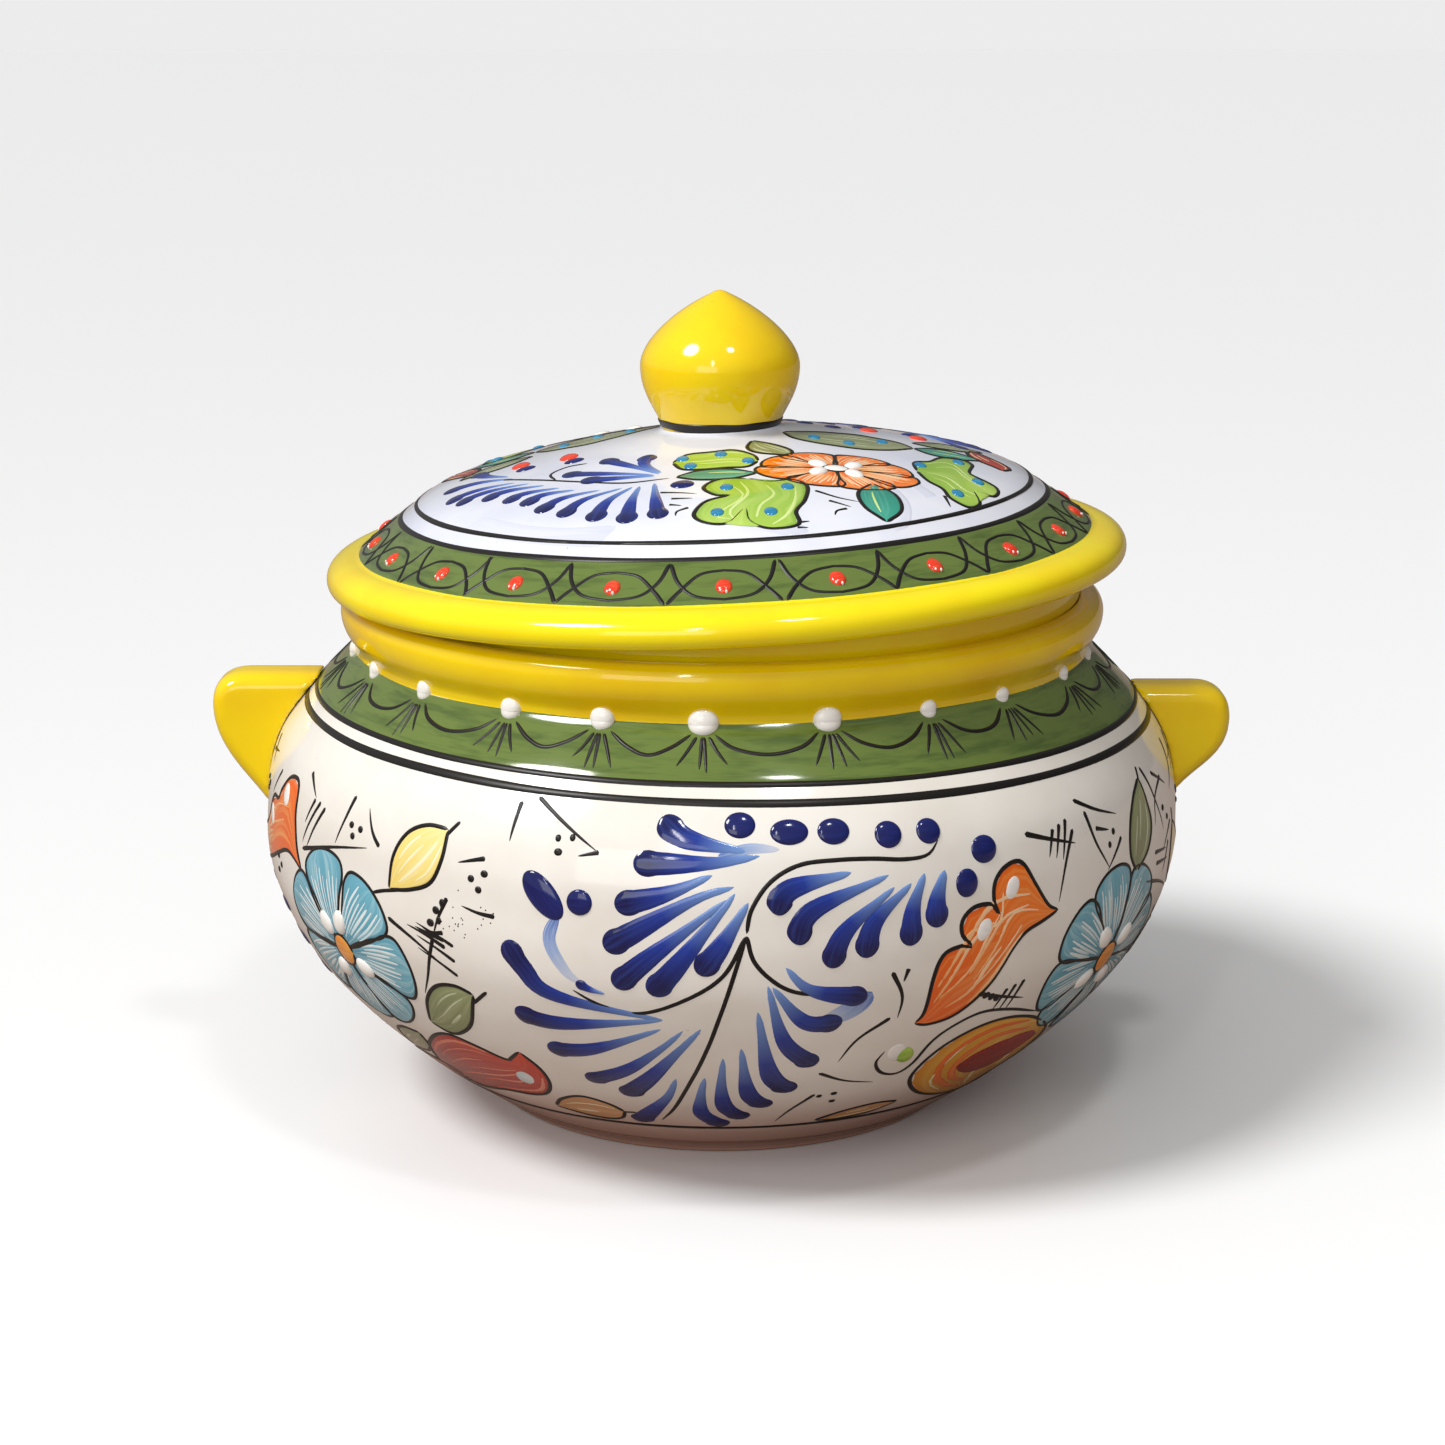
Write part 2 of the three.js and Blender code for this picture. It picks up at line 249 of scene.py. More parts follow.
def brushMark(skin, colour, path, width, lift=0.3, base=-edgeDepth, rows=14, cols=4,
              taper=(0.2, 0.2), neck=0.0, whip=0.0):
    t, k = stripBlank(rows, cols)[1:]
    if neck:
        t = t ** 1.6                               # more rows in the round head
    centre, step = softPath(path, t, skin.grain), 0.012
    travelTo = softPath(path, t + step, skin.grain) - softPath(path, t - step, skin.grain)
    alongP, alongQ, normal = slopes(skin, centre[:, 0], centre[:, 1])
    travel = alongP * travelTo[:, :1] + alongQ * travelTo[:, 1:]
    side = np.cross(normal, travel)
    side *= mm / np.linalg.norm(side, axis=-1, keepdims=True)
    pp, pq, qq = (alongP ** 2).sum(-1), (alongP * alongQ).sum(-1), (alongQ ** 2).sum(-1)
    sideP, sideQ = (side * alongP).sum(-1), (side * alongQ).sum(-1)
    sideways = np.stack([sideP * qq - sideQ * pq, sideQ * pp - sideP * pq], -1) / (pp * qq - pq * pq)[:, None]
    if neck:                                       # a ball of colour running out into a tail
        ends = softPath(path, np.linspace(0, 1, 9), skin.grain)
        reach = np.linalg.norm(np.diff(skin(ends[:, 0], ends[:, 1]), axis=0), axis=1).sum() / mm
        head, tip, run, thin = min(0.4, 1.05 * width / reach), 0.12, 0.56, 0.16
        ball = np.sqrt(np.clip(1 - (1 - t / head) ** 2, 0, 1))
        tail = thin + (neck - thin) * np.exp(-((np.clip(t - head, 0, 1) / run) ** 1.8))
        share = np.where(t < head, ball, np.maximum(ball, tail)) * np.clip((1 - t) / tip, 0, 1) ** 0.5
    else:
        ends = np.clip(np.minimum(t / max(taper[0], 1e-3), (1 - t) / max(taper[1], 1e-3)), 0, 1)
        share = np.sqrt(ends * (2 - ends)) * (1 - whip * t)
    at = centre + sideways * (k * width * share)[:, None]
    layStrip(colour, raised(skin, at, base + lift * dome(k) * share ** 0.6), rows, cols)


def comma(skin, colour, path, width, lift=0.62, neck=0.86):        # as a loaded brush leaves it
    brushMark(skin, colour, path, width, lift=lift, rows=26, cols=6, neck=neck)


def line(skin, colour, path, width=0.7, **more):
    brushMark(skin, colour, path, width, **{"lift": 0.26, "rows": 10 + 4 * len(path), **more})


def tick(skin, colour, path, width=0.95):          # pressed at the start, flicked off at the end
    line(skin, colour, path, width, taper=(0.06, 0.3), whip=0.62)


def fillBetween(skin, colour, left, right, lift=0.16, base=0.0, rows=30, cols=10):
    t, k = stripBlank(rows, cols)[1:]
    t, k = 0.5 - 0.5 * np.cos(t * np.pi), np.sin(k * np.pi / 2)     # closer rows near the edges
    ring = np.vstack([left, right[::-1]])
    if np.sum(ring[:, 0] * np.roll(ring[:, 1], -1) - np.roll(ring[:, 0], -1) * ring[:, 1]) > 0:
        left, right = right, left                  # the first edge has to be on the left
    leftLine, rightLine = softPath(left, t, skin.grain), softPath(right, t, skin.grain)
    at = rightLine + (leftLine - rightLine) * ((k + 1) / 2)[:, None]
    ends = np.clip(np.minimum(t, 1 - t) * 12, 0, 1)
    height = base - edgeDepth + (lift + edgeDepth) * dome(k, 8.0) * np.sqrt(ends * (2 - ends))
    layStrip(colour, raised(skin, at, height), rows, cols)


def bead(skin, colour, at, across, up, lift, turn=0.0, base=0.0, rows=10, sink=0.1):
    t, k = stripBlank(rows, rows)[1:]
    x, y = 2 * t - 1, k
    u, w = x * np.sqrt(1 - y * y / 2), y * np.sqrt(1 - x * x / 2)   # the square blank pulled round
    reach = np.clip(np.hypot(u, w), 1e-9, 1)
    rim = np.sin(reach * np.pi / 2)                # closer rows near the edge
    u, w = u * rim / reach, w * rim / reach
    c, s = math.cos(math.radians(turn)), math.sin(math.radians(turn))
    p, q = nearby(skin, at, across * u * c - up * w * s, across * u * s + up * w * c)
    height = base - sink + (lift + sink) * dome(rim)
    layStrip(colour, raised(skin, np.stack([p, q], -1), height), rows, rows)


def band(skin, colour, low, high, lift=0.14, around=240, across=8, wander=0.25, seed=0.0):
    t, k = stripBlank(around, across)[1:]
    a, k = 180 + 360 * t, np.sin(k * np.pi / 2)
    lean = np.radians(a)
    bottom = low(lean) + wander * (np.sin(5 * lean + seed) + 0.5 * np.sin(13 * lean + 2 * seed))
    top = high(lean) + wander * (np.sin(7 * lean + 3 * seed) + 0.5 * np.sin(11 * lean + seed))
    v = bottom + (top - bottom) * (k + 1) / 2
    height = -edgeDepth + (lift + edgeDepth) * dome(k, 12.0)
    layStrip(colour, raised(skin, np.stack([a, v], -1), height), around, across)


def paint(*chart):                                 # a colour as a paint chart gives it
    return tuple(((c / 255 + 0.055) / 1.055) ** 2.4 if c > 10 else c / 3294.6 for c in chart) + (1.0,)


def addNode(tree, kind, **values):
    node = tree.nodes.new(kind)
    for name, value in values.items():
        if name in node.inputs:
            node.inputs[name].default_value = value
        else:
            setattr(node, name, value)
    return node


def newGroup(name, inputs, outputs):
    group = bpy.data.node_groups.new(name, "ShaderNodeTree")
    for label, kind, value in inputs:
        socket = group.interface.new_socket(label, in_out="INPUT", socket_type=kind)
        if value is not None:
            socket.default_value = value
    for label, kind in outputs:
        group.interface.new_socket(label, in_out="OUTPUT", socket_type=kind)
    return group, group.nodes.new("NodeGroupInput"), group.nodes.new("NodeGroupOutput")


def mapped(tree, value, came, goes, **more):       # a value from one range carried to another
    node = addNode(tree, "ShaderNodeMapRange", **more)
    for label, number in zip(("From Min", "From Max", "To Min", "To Max"), came + goes):
        node.inputs[label].default_value = number
    tree.links.new(value, node.inputs["Value"])
    return node.outputs[0]


def kilnGroup():                                   # clouding, kiln specks and the slow wave of a thick glaze
    group, given, result = newGroup("kilnGlaze", [("Vector", "NodeSocketVector", None)],
                                    [("Cloud", "NodeSocketFloat"), ("Specks", "NodeSocketFloat"),
                                     ("Height", "NodeSocketFloat")])
    link = group.links.new
    cloud = addNode(group, "ShaderNodeTexNoise", Scale=22.0, Detail=4.0, Roughness=0.6)
    grain = addNode(group, "ShaderNodeTexNoise", Scale=9.0, Detail=1.0)
    pits = addNode(group, "ShaderNodeTexVoronoi", feature="F1", Scale=420.0)
    sparse = addNode(group, "ShaderNodeTexNoise", Scale=60.0, Detail=2.0)
    both = addNode(group, "ShaderNodeMath", operation="MULTIPLY")
    wave = addNode(group, "ShaderNodeMath", operation="MULTIPLY_ADD")
    wave.inputs[1].default_value = -0.35           # a speck sits in a small dip
    for node in (cloud, grain, pits, sparse):
        link(given.outputs["Vector"], node.inputs["Vector"])
    link(mapped(group, pits.outputs["Distance"], (0.06, 0.15), (1.0, 0.0)), both.inputs[0])
    link(mapped(group, sparse.outputs[0], (0.66, 0.74), (0.0, 1.0)), both.inputs[1])
    link(both.outputs[0], wave.inputs[0])
    link(grain.outputs[0], wave.inputs[2])
    link(cloud.outputs[0], result.inputs["Cloud"])
    link(both.outputs[0], result.inputs["Specks"])
    link(wave.outputs[0], result.inputs["Height"])
    return group


def streakGroup():                                 # hairs of a brush, running one way
    group, given, result = newGroup("brushStreaks", [("Vector", "NodeSocketVector", None),
                                                     ("Stretch", "NodeSocketVector", (1.5, 26.0, 1.0)),
                                                     ("Shade", "NodeSocketFloat", 0.0)],
                                    [("Streaks", "NodeSocketFloat")])
    link = group.links.new
    offset = addNode(group, "ShaderNodeVectorMath", operation="MULTIPLY_ADD")
    lift = addNode(group, "ShaderNodeCombineXYZ")
    hairs = addNode(group, "ShaderNodeTexNoise", Scale=1.0, Detail=3.0, Roughness=0.7)
    link(given.outputs["Vector"], offset.inputs[0])
    link(given.outputs["Stretch"], offset.inputs[1])
    for axis in "XYZ":
        gain = addNode(group, "ShaderNodeMath", operation="MULTIPLY")
        gain.inputs[1].default_value = 37.0        # no two marks show the same hairs
        link(given.outputs["Shade"], gain.inputs[0])
        link(gain.outputs[0], lift.inputs[axis])
    link(lift.outputs[0], offset.inputs[2])
    link(offset.outputs[0], hairs.inputs["Vector"])
    link(hairs.outputs[0], result.inputs["Streaks"])
    return group


kilnGlaze, brushStreaks = kilnGroup(), streakGroup()


def ramp(tree, factor, stops):                     # a colour ramp from (place, colour) stops
    node = addNode(tree, "ShaderNodeValToRGB")
    while len(node.color_ramp.elements) < len(stops):
        node.color_ramp.elements.new(0.5)
    for element, (place, colour) in zip(node.color_ramp.elements, stops):
        element.position, element.color = place, colour
    tree.links.new(factor, node.inputs["Fac"])
    return node.outputs["Color"]


def blend(tree, factor, first, second):
    node = addNode(tree, "ShaderNodeMix", data_type="RGBA")
    for socket, value in ((node.inputs["Factor"], factor), (node.inputs[6], first), (node.inputs[7], second)):
        if isinstance(value, (int, float, tuple)):
            socket.default_value = value
        else:
            tree.links.new(value, socket)
    return node.outputs[2]


def newGlaze(name, roughness, bump, coat):
    material = bpy.data.materials.new(name)
    material.use_nodes = True
    tree = material.node_tree
    shader = tree.nodes["Principled BSDF"]
    shader.inputs["IOR"].default_value = 1.52
    shader.inputs["Coat Weight"].default_value = coat
    shader.inputs["Coat Roughness"].default_value = 0.03
    coords = addNode(tree, "ShaderNodeTexCoord")
    kiln = addNode(tree, "ShaderNodeGroup", node_tree=kilnGlaze)
    tree.links.new(coords.outputs["Object"], kiln.inputs["Vector"])
    rough = mapped(tree, kiln.outputs["Cloud"], (0.0, 1.0), roughness)
    tree.links.new(rough, shader.inputs["Roughness"])
    relief = addNode(tree, "ShaderNodeBump", Strength=bump, Distance=0.001)
    tree.links.new(kiln.outputs["Height"], relief.inputs["Height"])
    tree.links.new(relief.outputs[0], shader.inputs["Normal"])
    return material, tree, shader, coords, kiln


def wallGlaze(name, pale, deep, speck, roughness=(0.07, 0.16), bump=0.35, coat=0.2):
    material, tree, shader, coords, kiln = newGlaze(name, roughness, bump, coat)
    colour = ramp(tree, kiln.outputs["Cloud"], [(0.34, paint(*deep)), (0.62, paint(*pale))])
    tree.links.new(blend(tree, kiln.outputs["Specks"], colour, paint(*speck)), shader.inputs["Base Color"])
    return material


def warmReflectionAtFoot(material, clay, low, high, share):  # painted reflection: a warm clay-coloured tint low on the wall stands in for a reddish table reflected there, set by height alone, inside and out
    tree = material.node_tree
    base = tree.nodes["Principled BSDF"].inputs["Base Color"]
    place = addNode(tree, "ShaderNodeTexCoord")
    split = addNode(tree, "ShaderNodeSeparateXYZ")
    tree.links.new(place.outputs["Object"], split.inputs[0])
    fade = mapped(tree, split.outputs["Z"], (low * mm, high * mm), (share, 0.0),
                  interpolation_type="SMOOTHSTEP")
    tree.links.new(blend(tree, fade, base.links[0].from_socket, paint(*clay)), base)


def brushGlaze(name, stops, streak, stretch=(1.5, 9.0, 1.0), streakShare=0.5, edge=None,
               roughness=(0.06, 0.15), coat=0.08):
    material, tree, shader, coords, kiln = newGlaze(name, roughness, 0.2, coat)
    hairs = addNode(tree, "ShaderNodeGroup", node_tree=brushStreaks)
    hairs.inputs["Stretch"].default_value = stretch
    shade = addNode(tree, "ShaderNodeAttribute", attribute_name="shade")
    tree.links.new(coords.outputs["UV"], hairs.inputs["Vector"])
    tree.links.new(shade.outputs["Fac"], hairs.inputs["Shade"])
    place = addNode(tree, "ShaderNodeSeparateXYZ")
    tree.links.new(coords.outputs["UV"], place.inputs[0])
    if len(stops) == 2:                            # two colours run from one end of the mark to the other
        stops = [(0.15, stops[0]), (0.75, stops[1])]
    body = ramp(tree, place.outputs["X"], [(where, paint(*chart)) for where, chart in stops])
    hair = mapped(tree, hairs.outputs["Streaks"], (0.46, 0.66), (0.0, streakShare))
    colour = blend(tree, hair, body, paint(*streak))
    if edge:
        rim = addNode(tree, "ShaderNodeMath", operation="PINGPONG")
        rim.inputs[1].default_value = 0.5
        tree.links.new(place.outputs["Y"], rim.inputs[0])
        close = mapped(tree, rim.outputs[0], (0.02, 0.2), (0.8, 0.0))
        colour = blend(tree, close, colour, paint(*edge))
    tree.links.new(colour, shader.inputs["Base Color"])
    return material


whiteGlaze = wallGlaze("whiteTinGlaze", (244, 240, 232), (236, 230, 220), (190, 174, 150))
coolGlaze = wallGlaze("coolTinGlaze", (238, 239, 246), (222, 225, 240), (180, 172, 166))
yellowGlaze = wallGlaze("yellowGlaze", (255, 234, 0), (255, 219, 0), (242, 190, 2), (0.06, 0.12), 0.2, 0.08)
# a deeper amber yellow for the rim, knob and ears; on the collar under the lid it is partly painted shade,
# standing in for the lid's shadow
amberAndShadeGlaze = wallGlaze("amberAndShadeGlaze", (252, 217, 0), (246, 200, 0), (224, 160, 4), (0.06, 0.12), 0.2, 0.08)
claySurface = wallGlaze("bareClay", (201, 150, 112), (176, 122, 86), (120, 82, 58), (0.75, 0.95), 0.9)
greenPaint = brushGlaze("greenBand", [(102, 122, 54), (102, 122, 54)], (66, 88, 34),
                        stretch=(26.0, 5.0, 1.0), streakShare=0.75)
blackPaint = brushGlaze("blackLine", [(18, 16, 15), (22, 19, 17)], (44, 36, 30), streakShare=0.3,
                        roughness=(0.26, 0.4), coat=0.0)
dullness = blackPaint.node_tree.nodes["Principled BSDF"].inputs["Specular IOR Level"]
dullness.default_value = 0.32                      # manganese black fires less shiny than the rest
deepBlue, midBlue, paleBlue = (4, 12, 78), (18, 50, 148), (124, 160, 216)
cobaltPaint = brushGlaze("cobaltStroke", [(0.28, deepBlue), (0.62, midBlue), (0.99, paleBlue)], (58, 92, 184),
                         stretch=(1.0, 6.0, 1.0), streakShare=0.22)
cobaltDot = brushGlaze("cobaltDot", [deepBlue, (12, 24, 100)], (24, 44, 130), streakShare=0.3)
whitePaint = brushGlaze("whiteEnamel", [(250, 248, 243), (248, 245, 238)], (232, 230, 226))
rayPaint = brushGlaze("paleRay", [(206, 230, 236), (236, 243, 242)], (168, 206, 218), streakShare=0.3)
skyPaint = brushGlaze("skyPetal", [(70, 146, 172), (112, 182, 202)], (178, 216, 224),
                      stretch=(1.2, 14.0, 1.0), streakShare=0.7, edge=(44, 114, 142))
orangePaint = brushGlaze("orangePetal", [(240, 96, 8), (248, 122, 22)], (253, 174, 92),
                         stretch=(1.2, 14.0, 1.0), streakShare=0.7, edge=(226, 78, 6))
orangeRay = brushGlaze("orangeRay", [(253, 188, 120), (253, 220, 178)], (250, 152, 76))
blushRay = brushGlaze("blushRay", [(224, 96, 66), (240, 150, 118)], (206, 70, 44))
smearPaint = brushGlaze("blueSmear", [(0.1, (92, 122, 188)), (0.5, (152, 174, 214)), (0.95, (212, 216, 226))],
                        (184, 198, 224), stretch=(2.0, 8.0, 1.0), streakShare=0.8)
heartPaint = brushGlaze("flowerHeart", [(226, 132, 34), (240, 158, 62)], (250, 190, 110))
yellowPaint = brushGlaze("yellowLeaf", [(242, 212, 104), (250, 230, 146)], (253, 242, 196),
                         stretch=(1.2, 9.0, 1.0), edge=(230, 190, 84))
creamRay = brushGlaze("creamRay", [(253, 243, 196), (253, 246, 214)], (248, 226, 140))
olivePaint = brushGlaze("oliveLeaf", [(122, 134, 88), (146, 154, 108)], (178, 184, 140),
                        stretch=(1.2, 9.0, 1.0), edge=(98, 112, 68))
oliveRay = brushGlaze("oliveRay", [(182, 190, 150), (206, 212, 180)], (160, 168, 124))
redPaint = brushGlaze("redLeaf", [(0.08, (112, 4, 2)), (0.45, (172, 16, 6)), (0.92, (218, 58, 24))],
                      (224, 90, 50), stretch=(1.2, 9.0, 1.0), streakShare=0.4)
wineEnamel = brushGlaze("wineCore", [(128, 4, 2), (168, 18, 8)], (190, 44, 20))
ochrePaint = brushGlaze("ochrePod", [(222, 146, 20), (238, 176, 50)], (248, 208, 112),
                        stretch=(1.0, 7.0, 1.0), edge=(198, 104, 10))
peachPaint = brushGlaze("peachLeaf", [(198, 138, 84), (224, 168, 116)], (236, 196, 154),
                        stretch=(1.2, 9.0, 1.0), edge=(170, 108, 60))
tealPaint = brushGlaze("tealLeaf", [(20, 124, 106), (54, 162, 138)], (120, 198, 176),
                       stretch=(1.0, 5.0, 1.0), edge=(12, 96, 84))
limePaint = brushGlaze("limeLeaf", [(130, 176, 44), (176, 210, 84)], (204, 226, 124),
                       stretch=(1.2, 6.0, 1.0), edge=(96, 148, 34))
limeRay = brushGlaze("limeRay", [(206, 228, 132), (222, 238, 160)], (180, 210, 90))
aquaDot = brushGlaze("aquaDot", [(16, 108, 158), (34, 138, 182)], (90, 180, 210))
redDot = brushGlaze("redDot", [(224, 44, 18), (236, 62, 26)], (250, 110, 70))
washPaint = brushGlaze("shadowWash", [(212, 215, 230), (220, 223, 236)], (230, 231, 240),
                       stretch=(2.0, 6.0, 1.0))
# painted reflection of a reddish table: a warm tint on the white glaze from 3 mm to 40 mm up, the inside
# floor included
warmReflectionAtFoot(whiteGlaze, (206, 128, 102), low=3.0, high=40.0, share=0.7)
print("glazes mixed:", len(bpy.data.materials))


def cleanRing(piece, angle=40, weld=0.01):         # closes the seam and poles, then turns the faces outwards
    bpy.ops.object.mode_set(mode="EDIT")
    bpy.ops.mesh.select_all(action="SELECT")
    bpy.ops.mesh.remove_doubles(threshold=weld * mm)
    bpy.ops.mesh.normals_make_consistent(inside=False)
    bpy.ops.object.mode_set(mode="OBJECT")
    bpy.ops.object.shade_smooth_by_angle(angle=math.radians(angle))


def onWheel(name, run, steps):                     # draws half a profile and turns it about the axis
    bpy.ops.object.select_all(action="DESELECT")
    bpy.ops.mesh.primitive_plane_add(size=mm)
    piece = bpy.context.object
    piece.name = name
    points = [Vector((r * mm, 0, z * mm)) for r, z in run]
    bpy.ops.object.mode_set(mode="EDIT")
    bpy.ops.mesh.select_all(action="SELECT")
    bpy.ops.mesh.merge(type="CENTER")
    bpy.ops.transform.translate(value=points[0])
    for here, there in zip(points, points[1:]):
        bpy.ops.mesh.extrude_region_move(TRANSFORM_OT_translate={"value": there - here})
    bpy.ops.mesh.select_all(action="SELECT")
    bpy.ops.mesh.spin(steps=steps, angle=2 * math.pi, center=(0, 0, 0), axis=(0, 0, 1))
    bpy.ops.object.mode_set(mode="OBJECT")
    cleanRing(piece)
    return piece


def corners(piece):
    flat = np.zeros(len(piece.data.vertices) * 3)
    piece.data.vertices.foreach_get("co", flat)
    return flat.reshape(-1, 3)


def setCorners(piece, points):
    piece.data.vertices.foreach_set("co", np.ascontiguousarray(points, np.float32).ravel())
    piece.data.update()


def paintFaces(piece, materials, choose):          # choose says which material a face takes, by its place
    for material in materials:
        piece.data.materials.append(material)
    for face in piece.data.polygons:
        face.material_index = choose(face)


def finish(piece, body, node):
    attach(piece, body)
    if node:
        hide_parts(node)


def radius(point):
    return math.hypot(point.x, point.y) / mm


bowlSection = joinRuns([(0, bowlShape["footZ"])], bowlRun(bowlShape),
                       [(0, bowlShape["footZ"] + bowlShape["floor"])])
bowl = onWheel("bowlWall", bowlSection, bowlShape["steps"])
points = corners(bowl) / mm
spread = np.hypot(points[:, 0], points[:, 1])
push = throwRings(np.arctan2(points[:, 0], -points[:, 1]), points[:, 2])
push *= np.clip((spread - bowlShape["rippleFrom"]) / bowlShape["rippleFade"], 0, 1)
points[:, :2] *= (1 + push / np.maximum(spread, 1))[:, None]
setCorners(bowl, points * mm)


def bowlColour(face):                              # 0 white, 1 amber rim (its deeper yellow is partly painted shade from the lid), 2 bare clay under the floor
    height, out = face.center.z / mm, radius(face.center)
    if height < bowlShape["bareBelow"] and face.normal.z < -0.9:
        return 2
    onRim = out > bowlShape["mouthInside"] or height > bowlShape["rimFrom"]
    return int(height > bowlShape["neck"][1] - 1 and onRim)


paintFaces(bowl, [whiteGlaze, amberAndShadeGlaze, claySurface], bowlColour)
finish(bowl, "pot", "bowl")

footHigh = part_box("foot_ring")[1]
footShape = {
    "inner": 67.0, "outer": footHigh.x / mm, "sole": 78.3, "top": footHigh.z / mm,
    "steps": 192, "bareBelow": 0.9,
}
footRun = joinRuns([(footShape["inner"] + 1, 0), (footShape["sole"], 0)],
                   bezier((footShape["sole"], 0), (79.2, 0), (79.8, 0.4), (80.1, 1.2), 5),
                   bezier((80.1, 1.2), (82.0, 3.0), (84.4, 4.6), (footShape["outer"], footShape["top"]), 8),
                   [(footShape["inner"] - 1, footShape["top"]), (footShape["inner"] + 1, 0)])
footRing = onWheel("footRing", footRun, footShape["steps"])
paintFaces(footRing, [whiteGlaze, claySurface], lambda face: int(face.center.z < footShape["bareBelow"] * mm))
finish(footRing, "pot", "foot_ring")

lidCrown = joinRuns(lidRun(lidShape), [(0, lidShape["boss"][1])], [(0, lidShape["hollowTop"])],
                    bezier((0, lidShape["hollowTop"]), (44, 40.2), (76, 33), (95.5, 24.6), 24),
                    bezier((95.5, 24.6), (101, 21), (lidShape["hollowR"], 15), (lidShape["hollowR"], 11), 8),
                    [(lidShape["hollowR"], lidShape["seat"]), (lidShape["seatR"], lidShape["seat"])])
lid = onWheel("lidShell", lidCrown, lidShape["steps"])
points = corners(lid) / mm
points[:, 2] += lidWaver(points[:, 0], points[:, 1]) * (points[:, 2] > lidShape["seat"] + 0.5)
setCorners(lid, points * mm)
paintFaces(lid, [coolGlaze, yellowGlaze],
           lambda face: int(radius(face.center) > lidShape["bandFoot"][0] - 2))
lid.matrix_world = lidPlace
bpy.ops.object.transform_apply()
finish(lid, "lid", "lid_shell")

ringShape = {"inner": 109.5, "outer": 115.8, "flat": 114.3, "top": 2.9, "foot": -8.5, "side": -7.0,
             "steps": 160}
ringTop = (ringShape["inner"], ringShape["top"])
ringRun = joinRuns([ringTop, (ringShape["inner"], ringShape["foot"]), (ringShape["flat"], ringShape["foot"])],
                   bezier((ringShape["flat"], ringShape["foot"]), (115.2, -8.5), (115.8, -7.9),
                          (ringShape["outer"], ringShape["side"]), 6),
                   [(ringShape["outer"], ringShape["top"]), ringTop])
lidRing = onWheel("lidLocatingRing", ringRun, ringShape["steps"])
paintFaces(lidRing, [yellowGlaze, claySurface], lambda face: int(face.normal.z < -0.6))
lidRing.matrix_world = lidPlace
bpy.ops.object.transform_apply()
finish(lidRing, "lid", "lid_locating_ring")

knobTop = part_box("knob")[1].z / mm
knobShape = {"waistR": 18.2, "waistZ": 218.8, "bellyR": 26.0, "bellyZ": knobTop - 24.2, "shift": -0.5,
             "steps": 128}
knobRun = joinRuns([(0, knobShape["waistZ"] - 1), (knobShape["waistR"], knobShape["waistZ"] - 1)],
                   bezier((knobShape["waistR"], knobShape["waistZ"]), (20, 225.8), (26, 230.8),
                          (knobShape["bellyR"], knobShape["bellyZ"]), 26),
                   bezier((knobShape["bellyR"], knobShape["bellyZ"]), (26, knobTop - 16.2), (14, knobTop - 6),
                          (3, knobTop - 1), 30),
                   bezier((3, knobTop - 1), (1.9, knobTop - 0.3), (1, knobTop), (0, knobTop), 5))
knob = onWheel("knob", knobRun, knobShape["steps"])
paintFaces(knob, [amberAndShadeGlaze], lambda face: 0)
knob.location.x = knobShape["shift"] * mm
bpy.ops.object.transform_apply()
finish(knob, "lid", "knob")

earShape = {"voxel": 0.8, "smoothing": 8}
for title, name in (("earLeft", "handle_left"), ("earRight", "handle_right")):
    bpy.ops.object.select_all(action="DESELECT")
    ear = bpy.data.objects.new(title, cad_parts[name].data.copy())
    bpy.context.scene.collection.objects.link(ear)
    ear.data.materials.clear()
    ear.data.transform(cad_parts[name].matrix_world)
    bpy.context.view_layer.objects.active = ear
    ear.select_set(True)
    cleanRing(ear)
    remesh = ear.modifiers.new("evenClay", "REMESH")
    remesh.mode, remesh.voxel_size, remesh.use_smooth_shade = "VOXEL", earShape["voxel"] * mm, True
    bpy.ops.object.modifier_apply(modifier=remesh.name)
    soften = ear.modifiers.new("fingerSoft", "SMOOTH")
    soften.factor, soften.iterations = 0.5, earShape["smoothing"]
    bpy.ops.object.modifier_apply(modifier=soften.name)
    bpy.ops.object.shade_smooth()
    paintFaces(ear, [amberAndShadeGlaze], lambda face: 0)
    finish(ear, "pot", name)
print("clay pieces made")


potBands = {
    "upperLine": lambda lean: 49.6 - 2.2 * np.sin(lean), "lowerLine": lambda lean: 43.7 - 3.0 * np.sin(lean),
    "footLine": lambda lean: -92 + 1.2 * np.sin(2 * lean + 1), "neck": lambda lean: neckAt - 0.6 + 0 * lean,
}


def ringLine(skin, colour, middle, width, seed):
    band(skin, colour, lambda lean: middle(lean) - width, lambda lean: middle(lean) + width, lift=0.22,
         across=4, wander=0.14, seed=seed)


band(potWall, "potGreen", potBands["upperLine"], potBands["neck"], wander=0.2, seed=1.3)
ringLine(potWall, "potLines", potBands["upperLine"], 1.1, 0.4)
ringLine(potWall, "potLines", potBands["lowerLine"], 1.4, 2.1)
ringLine(potWall, "potLines", potBands["footLine"], 1.0, 3.3)

